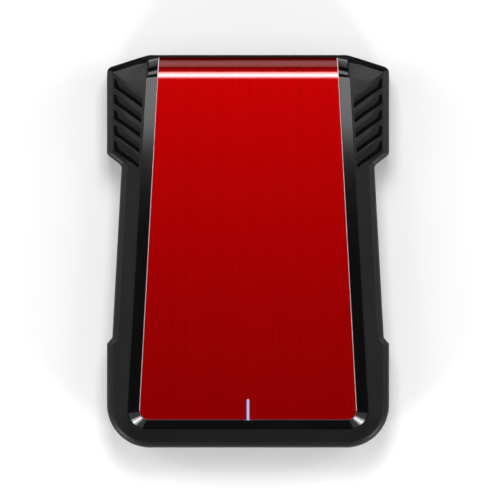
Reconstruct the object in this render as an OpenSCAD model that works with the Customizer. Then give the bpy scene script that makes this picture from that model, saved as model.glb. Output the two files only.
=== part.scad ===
// Portable solid state drive: a tool-free case with a sliding lid, a bridge board and a 2.5 inch drive.
// The case lies on its feet. +Z is up, +Y points to the eared end and -Y to the USB end.
// The origin is the middle of the footprint, on the surface that the feet stand on.

/* [Case] */
// Width of the case on each side of the drive bay, at the ears
ear_w = 14.6; // [13.6:0.1:16]
// Overall height over the feet
case_h = 25.2; // [25:0.1:27]
// Thickness of the outer walls
wall_t = 2.2; // [1.8:0.1:2.6]
// Thickness of the tray's floor
floor_t = 2.0; // [1.5:0.1:2.4]
// Height of the seam between the tray and the frame
seam_z = 14.0; // [13.8:0.1:14.6]
// Depth of the fine groove along the seam, in each shell
seam_groove = 0.25; // [0.1:0.05:0.4]
// Radius of the two round corners at the USB end
corner_r = 15.2; // [12:0.2:17]
// Room between the drive bay's stop and the end wall
end_room = 3.1; // [3:0.1:5]
// Gap between the front wall and the bridge board
board_gap = 0.4; // [0.3:0.1:1]
// Gap between the bridge board and the drive
plug_gap = 0.6; // [0.5:0.1:1]

/* [Ears] */
// How far in from the drive bay's side the eared end's corner lies
end_in = 0.5; // [0:0.1:2]
// How far each ear's outer corner lies back from the end
ear_drop = 4.8; // [3:0.1:7]
// Length of each ear's straight outer side
ear_l = 30.5; // [28:0.5:34]
// How far the waist steps in below each ear
waist_in = 5.2; // [4:0.1:6]
// Length of the slope from the ear down to the waist
waist_run = 4.1; // [3:0.1:6]
// How far the waist is drawn in where it flares out again
flare_in = 1.9; // [1:0.1:3]
// Length of that flare
flare_run = 2.2; // [1.5:0.1:3]
// Distance of the flare's lower end from the middle of the case
flare_y = 32.8; // [28:0.2:36]
// Number of grip grooves in each ear
groove_count = 5; // [3:1:5]
// Spacing of the grip grooves along the ear
groove_pitch = 5.53; // [5:0.05:5.6]
// Height of a groove's open end, along the ear
groove_w = 2.5; // [1.5:0.1:3]
// Depth of the grip grooves
groove_depth = 1.2; // [0.6:0.1:1.4]
// Fall of a groove for each millimetre that it runs inwards
groove_fall = 0.73; // [0.5:0.01:0.9]

/* [Frame] */
// Radius of the frame's rounded top edge
edge_r = 2.8; // [2:0.1:3.2]
// Width of the frame's sloping border
border_w = 7.0; // [5:0.1:8]
// Rise of that border between the rounded edge and the deck
border_rise = 0.7; // [0.3:0.1:1]
// Thickness of the frame's deck
deck_t = 2.15; // [1.8:0.05:2.4]
// Depth of the step that the lid's rim covers
deck_step = 0.4; // [0.2:0.1:0.6]
// Gap between the drive and each side of its bay
bay_gap = 0.375; // [0.2:0.025:0.5]

/* [Lid] */
// How far the lid's rim covers the frame beside the bay, at the middle of the case
lid_cover = 4.0; // [3.8:0.1:4.6]
// Half-width that the lid loses for each millimetre towards the eared end
lid_taper = 0.0545; // [0.04:0.0005:0.056]
// Width of the frame in front of the lid, at the USB end
front_bar = 6.9; // [6:0.1:8]
// Height of the lid's face over the frame's deck
lid_rise = 3.3; // [3:0.1:3.8]
// Width of the lid's bevel along the sides
bevel_side = 4.0; // [3:0.1:4.5]
// Width of the lid's bevel at the USB end
bevel_front = 3.0; // [2.5:0.1:3.5]
// Radius of the face plate's two corners at the USB end
plate_r = 3.4; // [2:0.1:5]
// Outer radius of the bend at the eared end
bend_r = 8.0; // [7.5:0.1:8.5]
// Thickness of the face plate
plate_t = 0.8; // [0.6:0.1:1]
// How far the case's end stands out past the face plate
end_lip = 0.9; // [0.7:0.1:1.3]
// Thickness of the double-sided tape under the face plate
tape_t = 0.2; // [0.1:0.05:0.3]
// Length of the light slot in the face plate
light_l = 7.4; // [5:0.1:9]
// Width of the light slot
light_w = 1.2; // [1:0.1:1.6]
// Gap between the lid and the frame
slide_gap = 0.25; // [0.2:0.05:0.3]
// Thickness of the foam pad under the lid
lid_pad_t = 2.5; // [1.5:0.1:3]

/* [Feet and screws] */
// Diameter of a foot
foot_d = 10; // [8:0.5:10.5]
// Thickness of a foot
foot_t = 1.5; // [1.2:0.1:1.8]
// How far a foot stands out of the tray
foot_out = 0.7; // [0.5:0.1:0.9]
// Distance of the feet from the case's sides
foot_side = 7.9; // [7.5:0.1:9]
// Distance of the front feet from the USB end
foot_front = 17.5; // [15.5:0.5:20]
// Distance of the rear feet from the eared end
foot_rear = 19.5; // [17.5:0.5:22]
// Length of a case screw's thread
case_screw_l = 10; // [9:0.5:11]
// Diameter of a case screw's thread
case_screw_d = 2.2; // [2:0.1:2.4]

/* [Bridge board] */
// Width of the bridge board
board_w = 66; // [62:0.5:68]
// Depth of the bridge board, front to back
board_l = 22.6; // [21.5:0.1:22.8]
// Thickness of the bridge board
board_t = 1.6; // [1:0.1:1.8]
// Distance of the board's screws from its sides
board_screw_in = 3.5; // [3:0.5:4.5]

/* [Drive] */
// Width of the drive
drive_w = 69.85; // [69.6:0.05:70.1]
// Length of the drive
drive_l = 100.2; // [99:0.1:100.5]
// Thickness of the drive
drive_h = 7.0; // [7:0.1:7.4]
// Height of the drive's underside over the tray's floor
under_drive = 4.9; // [4.7:0.1:5.1]
// Thickness of the drive case's walls
drive_wall = 1.4; // [1.2:0.1:1.6]
// Thickness of the drive's cover and floor
drive_skin = 0.9; // [0.7:0.1:1]
// How far the drive slides to come off its connector
unplug_travel = 5.5; // [5:0.1:5.8]

/* [Hidden] */
$fn = 48;
EPS = 0.01;

// ---- Derived places -------------------------------------------------------------------------

bay_wall_t = 1.6;
stop_gap = 0.6;
case_l = 2 * wall_t + board_gap + board_l + plug_gap + drive_l + unplug_travel + stop_gap + bay_wall_t + end_room;
bay_w = drive_w + 2 * bay_gap;
case_w = bay_w + 2 * ear_w;
end_w = bay_w - 2 * end_in;
lid_w = bay_w + 2 * lid_cover;

end_y = case_l / 2;
side_x = case_w / 2;
tray_z = foot_out;
floor_z = tray_z + floor_t;
foot_x = side_x - foot_side;
foot_front_y = end_y - foot_front;
foot_rear_y = end_y - foot_rear;
top_z = case_h;
deck_z = top_z - lid_rise;
deck_under_z = deck_z - deck_t;
rim_z = deck_z + 0.1;
step_z = deck_z - deck_step;

// The lid's face bends down about this line.
bend_y = end_y - end_lip - bend_r;
bend_z = top_z - bend_r;

lid_front_y = -end_y + front_bar;
plate_front_y = lid_front_y + bevel_front;
lid_corner_r = plate_r + (bevel_side + bevel_front) / 2 - 0.5;
plate_under_z = top_z - plate_t;
shell_z = plate_under_z - tape_t;
plate_proud = 0.3;
bevel_top_z = top_z - plate_proud;
bevel_foot_z = rim_z + 0.3;
lid_bottom_z = seam_z + 0.2;
plate_end_z = lid_bottom_z + 1.0;
lid_t = shell_z - rim_z;

bay_x = bay_w / 2;
end_slot_x = bay_x + 0.2;
end_slot_l = 12;
end_slot_y = end_y - end_slot_l;
rail_web_t = 1.8;
rail_lip_w = 1.9;
rail_lip_t = 2.0;
rail_x = bay_x - 0.3;
rail_lip_z = deck_under_z - slide_gap;
opening_front_y = lid_front_y + 2.1;

board_front_y = -end_y + wall_t + board_gap;
drive_y = board_front_y + board_l + plug_gap;
drive_z = floor_z + under_drive;
drive_end_y = drive_y + drive_l;
drive_top_z = drive_z + drive_h;
tongue_z = drive_z + 3.5;
plug_x = 4.8;
board_z = tongue_z - 2.3 - board_t;
board_top_z = board_z + board_t;
board_screw_x = board_w / 2 - board_screw_in;

screw_seat_z = drive_z + 0.3;
screw_tip_z = screw_seat_z + case_screw_l;
boss_r = 3.9;

pad_top_z = drive_z - 0.3;
pad_t = 1.2;
lid_pad_z = drive_top_z + 0.5;

// ---- Shape helpers --------------------------------------------------------------------------

function unit(v) = v / norm(v);
function wrap(a) = a > 180 ? a - 360 : a < -180 ? a + 360 : a;
function right_of(e) = unit([e.y, -e.x]);
function mirrored(pts) = [for (i = [len(pts) - 1:-1:0]) [-pts[i].x, pts[i].y]];

// One corner of an outline, moved inwards by d. The outline runs clockwise.
function moved_corner(a, b, c, d) =
  let (n0 = right_of(b - a), n1 = right_of(c - b)) b + d * (n0 + n1) / (1 + n0 * n1);

// The points of a round corner of radius r at b, in the given number of steps.
function round_corner(a, b, c, r, steps) =
  let (
    u = unit(a - b),
    v = unit(c - b),
    half = acos(u * v) / 2,
    centre = b + unit(u + v) * r / sin(half),
    from = b + u * r / tan(half) - centre,
    to = b + v * r / tan(half) - centre,
    start = atan2(from.y, from.x),
    sweep = wrap(atan2(to.y, to.x) - start)
  )
  [for (k = [0:steps]) centre + r * [cos(start + sweep * k / steps), sin(start + sweep * k / steps)]];

// A closed outline from its sharp corners: each is moved inwards by d and then rounded.
// A corner is [x, y, radius, steps]. An outer corner's radius shrinks by d.
function outline(corners, d = 0) =
  let (
    n = len(corners),
    p = [for (c = corners) [c.x, c.y]],
    q = [for (i = [0:n - 1]) moved_corner(p[(i + n - 1) % n], p[i], p[(i + 1) % n], d)]
  )
  [
    for (i = [0:n - 1])
      let (
        before = q[(i + n - 1) % n],
        after = q[(i + 1) % n],
        e0 = q[i] - before,
        e1 = after - q[i],
        outer = e0.x * e1.y - e0.y * e1.x < 0,
        r = outer ? max(corners[i][2] - d, 0.15) : corners[i][2]
      )
      each round_corner(before, q[i], after, r, corners[i][3])
  ];

// A solid through rings of equal point count, each [height, points], mirrored about X = 0.
module lofted(rings) {
  n = len(rings[0][1]);
  points = [for (ring = rings) for (p = ring[1]) [p.x, p.y, ring[0]]];
  sides = [
    for (k = [0:len(rings) - 2])
      for (i = [0:n - 1])
        let (a = k * n + i, b = k * n + (i + 1) % n)
        each [[a, b, b + n], [a, b + n, a + n]]
  ];
  last = (len(rings) - 1) * n;
  floor_faces = [for (i = [0:n / 2 - 2]) [n - 1 - i, n - 2 - i, i + 1, i]];
  roof_faces = [for (i = [0:n / 2 - 2]) [last + i, last + i + 1, last + n - 2 - i, last + n - 1 - i]];
  polyhedron(points, concat(sides, floor_faces, roof_faces), convexity = 6);
}

// A block given by its middle in X, its low corner in Y and Z, and its size.
module block(x, y, z, size) {
  translate([x - size.x / 2, y, z]) cube(size);
}

module post(x, y, z, r, h) {
  translate([x, y, z]) cylinder(r = r, h = h);
}

module both_sides() {
  children();
  mirror([1, 0, 0]) children();
}

// Extrudes a side view, drawn as Y across and Z up, over the width w, centred on X = 0.
module across(w) {
  translate([-w / 2, 0, 0]) rotate([90, 0, 90]) linear_extrude(w) children();
}

// ---- Outlines -------------------------------------------------------------------------------

ear_y = end_y - ear_drop;
ear_foot_y = ear_y - ear_l;
case_right = [
  [end_w / 2, end_y, 1.0, 2],
  [side_x, ear_y, 2.4, 5],
  [side_x, ear_foot_y, 1.8, 4],
  [side_x - waist_in, ear_foot_y - waist_run, 2.0, 4],
  [side_x - flare_in, -flare_y + flare_run, 0.8, 3],
  [side_x, -flare_y, 0.4, 2],
  [side_x, -end_y, corner_r, 14]
];

function mirrored_corners(c) = [for (i = [len(c) - 1:-1:0]) [-c[i].x, c[i].y, c[i][2], c[i][3]]];
function case_outline(d = 0) = outline(concat(case_right, mirrored_corners(case_right)), d);

// Half-width of the lid's rim at y.
function lid_half(y) = lid_w / 2 - lid_taper * y;

// Plan of the lid: the rim where bevel is 0, and the face plate where it is 1.
function lid_plan(bevel, grow = 0) =
  let (
    front = lid_front_y + bevel * bevel_front - grow,
    back = end_y,
    inset = bevel * bevel_side - grow,
    r = bevel * plate_r + (1 - bevel) * lid_corner_r + grow,
    right = [
      [lid_half(back) - inset, back, 0.1, 1],
      [lid_half(front) - inset, front, r, 10]
    ]
  )
  outline(concat(right, mirrored_corners(right)));

// Side view of everything under the bent face, depth below it.
module bent_side(depth, low_z) {
  r = bend_r - depth;
  translate([-end_y, low_z]) square([end_y + bend_y, bend_z + r - low_z]);
  translate([bend_y - EPS, low_z]) square([r + EPS, bend_z - low_z]);
  intersection() {
    translate([bend_y, bend_z]) circle(r = r, $fn = 96);
    translate([bend_y - EPS, bend_z - EPS]) square(r + 1);
  }
}

module bent_block(depth, low_z, bevel, grow = 0) {
  intersection() {
    across(case_w) bent_side(depth, low_z);
    linear_extrude(case_h + 1) polygon(lid_plan(bevel, grow));
  }
}

// ---- Tray, frame, feet and case screws ------------------------------------------------------

foot_places = [
  [-foot_x, -foot_front_y], [foot_x, -foot_front_y],
  [-foot_x, foot_rear_y], [foot_x, foot_rear_y]
];
head_r = 2.1;
head_t = 1.4;
rib_in = 9.925;
rib_x = drive_w / 2 - rib_in;
rib_w = 6;
stop_y = drive_end_y + unplug_travel + stop_gap;
board_screw_y = board_front_y + 11.4;
board_screw_r = 1.0;
usb_y = -end_y + wall_t + 0.1;
usb_z = board_top_z;

module tray_skin() {
  lofted([
    [tray_z, case_outline(2.6)],
    [tray_z + 1.8, case_outline(0.5)],
    [tray_z + 3.4, case_outline(0)],
    [seam_z - seam_groove, case_outline(0)],
    [seam_z, case_outline(seam_groove)]
  ]);
}

module tray_lip() {
  difference() {
    translate([0, 0, seam_z - 1]) linear_extrude(2) difference() {
      polygon(case_outline(wall_t - 1.0));
      polygon(case_outline(wall_t));
    }
    block(0, end_y - 22, seam_z - 2, [case_w - 16, 30, 5]);
  }
}

module base_tray() {
  color("#232323") difference() {
    union() {
      difference() {
        tray_skin();
        translate([0, 0, floor_z]) linear_extrude(case_h) polygon(case_outline(wall_t));
      }
      tray_lip();
      for (p = foot_places) post(p.x, p.y, floor_z - EPS, boss_r, seam_z - floor_z + EPS);
      both_sides() {
        block(bay_x + bay_wall_t / 2, drive_y + 0.7, floor_z - EPS,
          [bay_wall_t, stop_y - drive_y, seam_z - 0.2 - floor_z]);
        block(rib_x, drive_y + 4, floor_z - EPS, [rib_w, 92, pad_top_z - pad_t - floor_z + EPS]);
        post(board_screw_x, board_screw_y, floor_z - EPS, 2.6, board_z - floor_z + EPS);
        block(20, board_front_y + 1, floor_z - EPS, [2, 8, board_z - floor_z + EPS]);
      }
      block(0, stop_y, floor_z - EPS, [bay_w, bay_wall_t, 7]);
    }
    for (p = foot_places) {
      post(p.x, p.y, tray_z - 1, foot_d / 2 + 0.1, foot_t - foot_out + 1);
      post(p.x, p.y, tray_z, head_r + 0.2, screw_seat_z - tray_z);
      post(p.x, p.y, tray_z, case_screw_d / 2 + 0.15, case_h);
    }
    both_sides() post(board_screw_x, board_screw_y, floor_z + 0.6, board_screw_r + 0.02, 10);
    block(0, -end_y - 1, usb_z - 0.3, [13.8, wall_t + 2, 3.6]);
    block(0, -end_y - 1, usb_z - 1.7, [17.5, 2.2, 6.3]);
  }
}

module frame_skin() {
  foot_of_edge = deck_z - border_rise - edge_r;
  lofted(concat(
    [[seam_z, case_outline(seam_groove)], [seam_z + seam_groove, case_outline(0)]],
    [for (a = [0:15:90]) [foot_of_edge + edge_r * sin(a), case_outline(edge_r * (1 - cos(a)))]],
    [[deck_z, case_outline(border_w)]]
  ));
}

// One grip groove in the right ear: the k-th from the eared end.
groove_out_x = side_x - 2.6;
groove_top_y = ear_y - 7.0;
module grip_groove(k) {
  low_y = groove_top_y - k * groove_pitch;
  in_y = low_y - groove_fall * (groove_out_x - lid_half(low_y) - 0.9);
  in_x = lid_half(in_y) + 0.9;
  run = groove_fall * (groove_out_x - in_x);
  translate([0, 0, deck_z - groove_depth]) linear_extrude(groove_depth + 1) polygon([
    [groove_out_x, low_y],
    [groove_out_x, low_y + groove_w],
    [in_x, low_y + groove_w - run],
    [in_x + 0.02, low_y - run]
  ]);
}

module surround_frame() {
  ear_wall_x = bay_x + rail_lip_w + 0.4;
  color("#2b2b2b") difference() {
    union() {
      difference() {
        frame_skin();
        translate([0, 0, seam_z - 1]) linear_extrude(deck_under_z - seam_z + 1) polygon(case_outline(wall_t - 0.2));
        translate([0, 0, seam_z - 1]) linear_extrude(2.1) polygon(case_outline(wall_t - 1.1));
      }
      for (p = foot_places) post(p.x, p.y, seam_z, boss_r - 0.6, deck_under_z - seam_z + EPS);
      intersection() {
        frame_skin();
        both_sides() translate([end_slot_x, end_slot_y, seam_z])
          cube([ear_wall_x + 1.6 - end_slot_x, 13, deck_under_z - seam_z + EPS]);
      }
    }
    // The drive bay's opening, the step under the lid's rim and the slot for the lid's bent end.
    block(0, opening_front_y, seam_z - 1, [bay_w, end_y - opening_front_y + 2, case_h]);
    translate([0, 0, step_z]) linear_extrude(case_h) polygon(lid_plan(0, 0.05));
    block(0, end_slot_y, seam_z - 1, [2 * end_slot_x, 14, case_h]);
    // The grooves that the lid's rails run out through.
    block(0, end_slot_y - 1, rail_lip_z - rail_lip_t - slide_gap,
      [2 * ear_wall_x, 15, rail_lip_t + 2 * slide_gap]);
    for (p = foot_places) post(p.x, p.y, seam_z - 1, case_screw_d / 2 + 0.02, screw_tip_z - seam_z + 1.4);
    both_sides() for (k = [0:groove_count - 1]) grip_groove(k);
  }
}

// A pan-head screw standing on its tip's axis, head down, with a cross recess.
module pan_screw(thread_r, length, pan_r, pan_t, slot_w) {
  difference() {
    union() {
      cylinder(r = thread_r, h = length);
      translate([0, 0, -pan_t]) cylinder(r = pan_r, h = pan_t);
    }
    translate([0, 0, -pan_t + 0.3]) {
      cube([pan_r * 1.1, slot_w, 1.2], center = true);
      cube([slot_w, pan_r * 1.1, 1.2], center = true);
    }
  }
}

module frame_screws() {
  color("#55585c") for (p = foot_places)
    translate([p.x, p.y, screw_seat_z]) pan_screw(case_screw_d / 2, case_screw_l, head_r, head_t, 0.6);
}

module foot(i) {
  p = foot_places[i];
  color("#1a1a1a") translate([p.x, p.y, 0]) rotate_extrude() polygon([
    [0, 0], [foot_d / 2 - 0.4, 0], [foot_d / 2, 0.4], [foot_d / 2, foot_t], [0, foot_t]
  ]);
}

module bay_pad(side) {
  color("#3a3a3c") block(side * rib_x, drive_y + 6, pad_top_z - pad_t, [rib_w - 1, 88, pad_t]);
}

// ---- Bridge board ---------------------------------------------------------------------------

led_y = plate_front_y + light_l / 2 - 0.6;
led_pitch = 2.54;
led_r = 1.5;

module bridge_board() {
  color("#14502c") difference() {
    block(0, board_front_y, board_z, [board_w, board_l, board_t]);
    both_sides() post(board_screw_x, board_screw_y, board_z - 1, 1.15, board_t + 2);
    both_sides() post(led_pitch / 2, led_y, board_z - 1, 0.4, board_t + 2);
  }
}

module board_screws() {
  color("#b9bcc0") both_sides() translate([board_screw_x, board_screw_y, board_top_z])
    rotate([180, 0, 0]) pan_screw(board_screw_r, 5, 1.9, 1.2, 0.5);
}

// A square chip on the board: its middle in X and Y, and its size.
module chip(x, y, z, size) {
  block(x, y - size.y / 2, z, size);
}

// A chip with rows of gull-wing legs along its two long sides.
module legged_chip(x, y, z, size, legs, pitch) {
  chip(x, y, z + 0.15, size);
  both = [-1, 1];
  for (s = both) for (i = [0:legs - 1])
    translate([x + (i - (legs - 1) / 2) * pitch, y + s * (size.y / 2 + 0.45), z]) {
      translate([-0.2, -0.5, 0]) cube([0.4, 1.0, 0.15]);
      translate([-0.2, s > 0 ? -0.5 : 0.3, 0]) cube([0.4, 0.2, 0.9]);
    }
}

// Places on the bridge board: the middle in X, and the distance from the board's front edge.
bridge_chip_at = [-19, 8.4];
bridge_chip_size = [7, 7, 0.9];
flash_chip_at = [14.5, 8.2];
flash_chip_size = [4.9, 3.9, 1.4];
flash_leg_pitch = 1.27;
crystal_at = [-10.2, 9.2];
crystal_size = [3.2, 2.5, 0.6];
crystal_lid = [2.8, 2.1, 0.2];
inductor_at = [22.5, 8.4];
inductor_size = [4.4, 4.4, 2.0];
inductor_cup_r = 1.6;
inductor_cup_t = 0.3;

module bridge_chip() {
  color("#1d1e20") chip(bridge_chip_at.x, board_front_y + bridge_chip_at.y, board_top_z, bridge_chip_size);
}

module flash_chip() {
  color("#1d1e20")
    legged_chip(flash_chip_at.x, board_front_y + flash_chip_at.y, board_top_z, flash_chip_size, 4, flash_leg_pitch);
}

module clock_crystal() {
  y = board_front_y + crystal_at.y;
  color("#c4c6c8") {
    chip(crystal_at.x, y, board_top_z, crystal_size);
    chip(crystal_at.x, y, board_top_z + crystal_size.z - EPS, crystal_lid);
  }
}

module power_inductor() {
  y = board_front_y + inductor_at.y;
  color("#4a4a4c") difference() {
    chip(inductor_at.x, y, board_top_z, inductor_size);
    post(inductor_at.x, y, board_top_z + inductor_size.z - inductor_cup_t, inductor_cup_r, 1);
  }
}

capacitor_places = [
  [-13.5, 4], [-16, 3], [-26, 8], [-26, 10.5], [9.5, 4], [9.5, 6.5], [19, 4], [22, 4], [27.5, 5], [-8, 12.2], [8, 12.2]
];
module board_capacitors() {
  color("#a98a63") for (p = capacitor_places) chip(p.x, board_front_y + p.y, board_top_z, [1.6, 0.8, 0.8]);
}

resistor_places = [[-10.5, 4], [-22.5, 3], [-24.5, 13], [-21.5, 13], [18.5, 12.8], [21.5, 12.8], [12, 3.5], [15, 3.5]];
module board_resistors() {
  color("#26282c") for (p = resistor_places) chip(p.x, board_front_y + p.y, board_top_z, [1.0, 0.5, 0.35]);
}

// SATA connector: a 7-way signal tongue and a 15-way power tongue, each with a key at its left end.
contact_pitch = 1.27;
signal_w = 10.4;
power_w = 20.6;
tongue_gap = 2.2;
tongue_t = 1.3;
key_h = 1.6;
tongue_tip_y = drive_y;
tongue_root_y = drive_y + 5.1;
sata_left = plug_x - (signal_w + tongue_gap + power_w) / 2;
power_left = sata_left + signal_w + tongue_gap;
strip_w = 0.8;
strip_t = 0.1;
beam_w = 0.5;
beam_t = 0.3;
nose_w = 36;
nose_h = 4.3;

// The middles of the contacts in X.
contact_xs = concat(
  [for (i = [0:6]) sata_left + signal_w - 1.1 - (6 - i) * contact_pitch],
  [for (i = [0:14]) power_left + power_w - 1.2 - (14 - i) * contact_pitch]
);

module sata_tongues(from_y, to_y, gap) {
  for (t = [[sata_left, signal_w], [power_left, power_w]]) {
    translate([t[0] - gap, from_y, tongue_z - tongue_t / 2 - gap])
      cube([t[1] + 2 * gap, to_y - from_y, tongue_t + 2 * gap]);
    translate([t[0] - gap, from_y, tongue_z - key_h - gap]) cube([1.1 + 2 * gap, to_y - from_y, key_h]);
  }
}

beam_top_z = tongue_z - tongue_t / 2 - strip_t - 0.1;
tail_y = tongue_tip_y - 9.5;
housing_back_y = tongue_tip_y - 8.3;

module sata_receptacle() {
  color("#18191b") difference() {
    union() {
      block(plug_x, housing_back_y, board_top_z, [nose_w + 2, 8.05, 5.0]);
      block(plug_x, housing_back_y, tongue_z - nose_h / 2, [nose_w, tongue_root_y - 0.4 - housing_back_y, nose_h]);
    }
    sata_tongues(tongue_tip_y - 1.3, tongue_root_y + 1, 0.15);
    for (x = contact_xs)
      translate([x - beam_w / 2 - 0.05, housing_back_y - 1, beam_top_z - beam_t - 0.05])
        cube([beam_w + 0.1, 20, 0.5 + beam_t]);
  }
}

module sata_receptacle_contacts() {
  color("#d2a94a") for (x = contact_xs) translate([x - beam_w / 2, 0, 0]) rotate([90, 0, 90])
    linear_extrude(beam_w) polygon([
      [tongue_root_y - 1.0, beam_top_z], [tail_y + 0.6, beam_top_z], [tail_y + 0.6, board_top_z],
      [tail_y - 0.4, board_top_z], [tail_y - 0.4, board_top_z + 0.2], [tail_y + 0.9 - beam_t * 2, board_top_z + 0.2],
      [tail_y + 0.9 - beam_t * 2, beam_top_z + 0.001], [tail_y + 0.6, beam_top_z + 0.001]
    ]);
}

// USB 3.0 Micro-B receptacle: a wide bay with cut corners beside a narrower one.
usb_len = 7.2;
usb_h = 2.9;
usb_skin = 0.3;
function usb_profile(d) = [
  [-6.4 + d, 0.9 + d / 2], [-5.6 + d / 2, d], [0.9 - d, d], [1.3 - d, 0.5 + d], [1.7 + d, 0.5 + d], [2.1 + d, d],
  [6.4 - d, d], [6.4 - d, usb_h - d], [2.1 + d, usb_h - d], [1.7 + d, usb_h - 0.5 - d], [1.3 - d, usb_h - 0.5 - d],
  [0.9 - d, usb_h - d], [-6.4 + d, usb_h - d]
];

module usb_solid(d, y, l) {
  translate([0, y + l, usb_z]) rotate([90, 0, 0]) linear_extrude(l) polygon(usb_profile(d));
}

module usb_shell() {
  color("#c9ccd0") difference() {
    usb_solid(0, usb_y, usb_len);
    usb_solid(usb_skin, usb_y - 1, usb_len - 0.4 + 1);
  }
}

module usb_insulator() {
  color("#1b1b1d") {
    usb_solid(usb_skin + 0.02, usb_y + 4.6, usb_len - 0.4 - 4.6 - 0.02);
    translate([-5.0, usb_y + 1.0, usb_z + 1.3]) cube([5.0, 3.7, 0.6]);
    translate([2.9, usb_y + 1.0, usb_z + 1.3]) cube([2.6, 3.7, 0.6]);
  }
}

usb_contact_xs = concat([for (i = [0:4]) -4.4 + i * 0.95], [for (i = [0:4]) 3.2 + i * 0.5]);
module usb_contacts() {
  color("#d2a94a") for (x = usb_contact_xs) {
    translate([x - 0.12, usb_y + 1.3, usb_z + 1.9]) cube([0.24, 3.28, 0.1]);
    translate([x - 0.12, usb_y + usb_len + 0.02, usb_z]) cube([0.24, 1.1, 0.15]);
  }
}

led_base_z = 10.4;
led_top_z = drive_top_z;
module activity_led() {
  color("#dfe9f5") translate([0, led_y, led_base_z]) rotate_extrude() polygon(concat(
    [[0, 0], [1.75, 0], [1.75, 0.7], [led_r, 0.7]],
    [for (a = [0:10:90]) [led_r * cos(a), led_top_z - led_base_z - led_r + led_r * sin(a)]]
  ));
}

module led_leads() {
  color("#b9bcc0") both_sides() post(led_pitch / 2, led_y, board_z - 1.0, 0.25, led_base_z - board_z + 1.0);
}

// ---- Lid ------------------------------------------------------------------------------------

pipe_stem = [2.6, 5.0];
pipe_foot_z = drive_top_z + 0.6;
pipe_head = [3.4, 6.4, 0.9];
lid_rib_t = 1.6;
lid_platform = [52, 64];

// Everything under the bevel and the bent face, before it is hollowed.
module lid_block() {
  intersection() {
    hull() {
      bent_block(plate_proud, rim_z, 1, 0.1);
      bent_block(top_z - bevel_foot_z, rim_z, 0);
    }
    translate([-case_w, -case_l, rim_z]) cube([2 * case_w, 2 * case_l, case_h]);
  }
}

module lid_end() {
  intersection() {
    hull() {
      bent_block(plate_proud, lid_bottom_z, 1, 0.1);
      bent_block(top_z - bevel_foot_z, lid_bottom_z, 0);
    }
    block(0, stop_y, lid_bottom_z, [2 * (end_slot_x - slide_gap), 20, rim_z - lid_bottom_z + EPS]);
  }
}

module lid_rails() {
  rail_l = end_slot_y - 2 - (opening_front_y + 1);
  both_sides() {
    translate([rail_x - rail_web_t, opening_front_y + 1, rail_lip_z - rail_lip_t])
      cube([rail_web_t, rail_l, rim_z - rail_lip_z + rail_lip_t + EPS]);
    translate([rail_x - EPS, opening_front_y + 1, rail_lip_z - rail_lip_t])
      cube([rail_lip_w + EPS, rail_l, rail_lip_t]);
  }
}

module lid_platform_ribs() {
  h = rim_z - lid_pad_z - lid_pad_t + EPS;
  z = lid_pad_z + lid_pad_t;
  difference() {
    block(0, -lid_platform.y / 2, z, [lid_platform.x, lid_platform.y, h]);
    block(0, -lid_platform.y / 2 + lid_rib_t, z - 1,
      [lid_platform.x - 2 * lid_rib_t, lid_platform.y - 2 * lid_rib_t, h + 1]);
  }
  block(0, -lid_rib_t / 2, z, [lid_platform.x - 2, lid_rib_t, h]);
}

module lid_shell() {
  inner_r = bend_r - (top_z - rim_z);
  color("#0a0a0b") difference() {
    union() {
      lid_block();
      lid_end();
      lid_rails();
      lid_platform_ribs();
    }
    // The recess for the face plate, open at the bent end down to the lip under the plate.
    difference() {
      intersection() {
        across(case_w) difference() {
          translate([-end_y, plate_end_z - 0.1]) square([case_l + 5, case_h]);
          bent_side(top_z - shell_z, 0);
        }
        linear_extrude(case_h + 1) polygon(lid_plan(1, 0.1));
      }
    }
    // The hollow behind the bent end.
    difference() {
      across(2 * (end_slot_x - slide_gap - 2)) {
        translate([end_slot_y - 2, lid_bottom_z - 1]) square([bend_y - end_slot_y + 2 + inner_r, bend_z - lid_bottom_z + 1]);
        intersection() {
          translate([bend_y, bend_z]) circle(r = inner_r, $fn = 96);
          translate([bend_y, bend_z - EPS]) square(inner_r + 1);
        }
        translate([end_slot_y - 2, bend_z - 1]) square([bend_y - end_slot_y + 2 + EPS, rim_z - bend_z + 1]);
      }
    }
    // The light pipe's way through, with a seat for its head.
    block(0, led_y - pipe_stem.y / 2 - 0.1, pipe_foot_z, [pipe_stem.x + 0.2, pipe_stem.y + 0.2, case_h]);
    block(0, led_y - pipe_head.y / 2 - 0.1, shell_z - pipe_head.z, [pipe_head.x + 0.2, pipe_head.y + 0.2, 2]);
  }
}

module light_slot(grow, low_z) {
  translate([0, 0, low_z]) linear_extrude(case_h) {
    translate([-light_w / 2 - grow, plate_front_y - 1]) square([light_w + 2 * grow, 1 + light_l - light_w / 2]);
    translate([0, plate_front_y + light_l - light_w / 2]) circle(r = light_w / 2 + grow);
  }
}

// A sheet that follows the bent face, from depth0 to depth1 under it.
module bent_sheet(depth0, depth1, low_z, bevel, grow) {
  intersection() {
    across(case_w) difference() {
      bent_side(depth0, low_z);
      bent_side(depth1, low_z - 1);
    }
    linear_extrude(case_h + 1) polygon(lid_plan(bevel, grow));
  }
}

module face_plate() {
  color("#a80004") difference() {
    bent_sheet(0, plate_t, plate_end_z, 1, 0);
    light_slot(0.03, 0);
  }
}

module plate_tape() {
  color("#d8d2b8") difference() {
    bent_sheet(plate_t, plate_t + tape_t, plate_end_z + 1, 1, -1);
    block(0, led_y - pipe_head.y / 2 - 2, 0, [pipe_head.x + 1, pipe_head.y + 6, case_h + 1]);
  }
}

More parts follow.
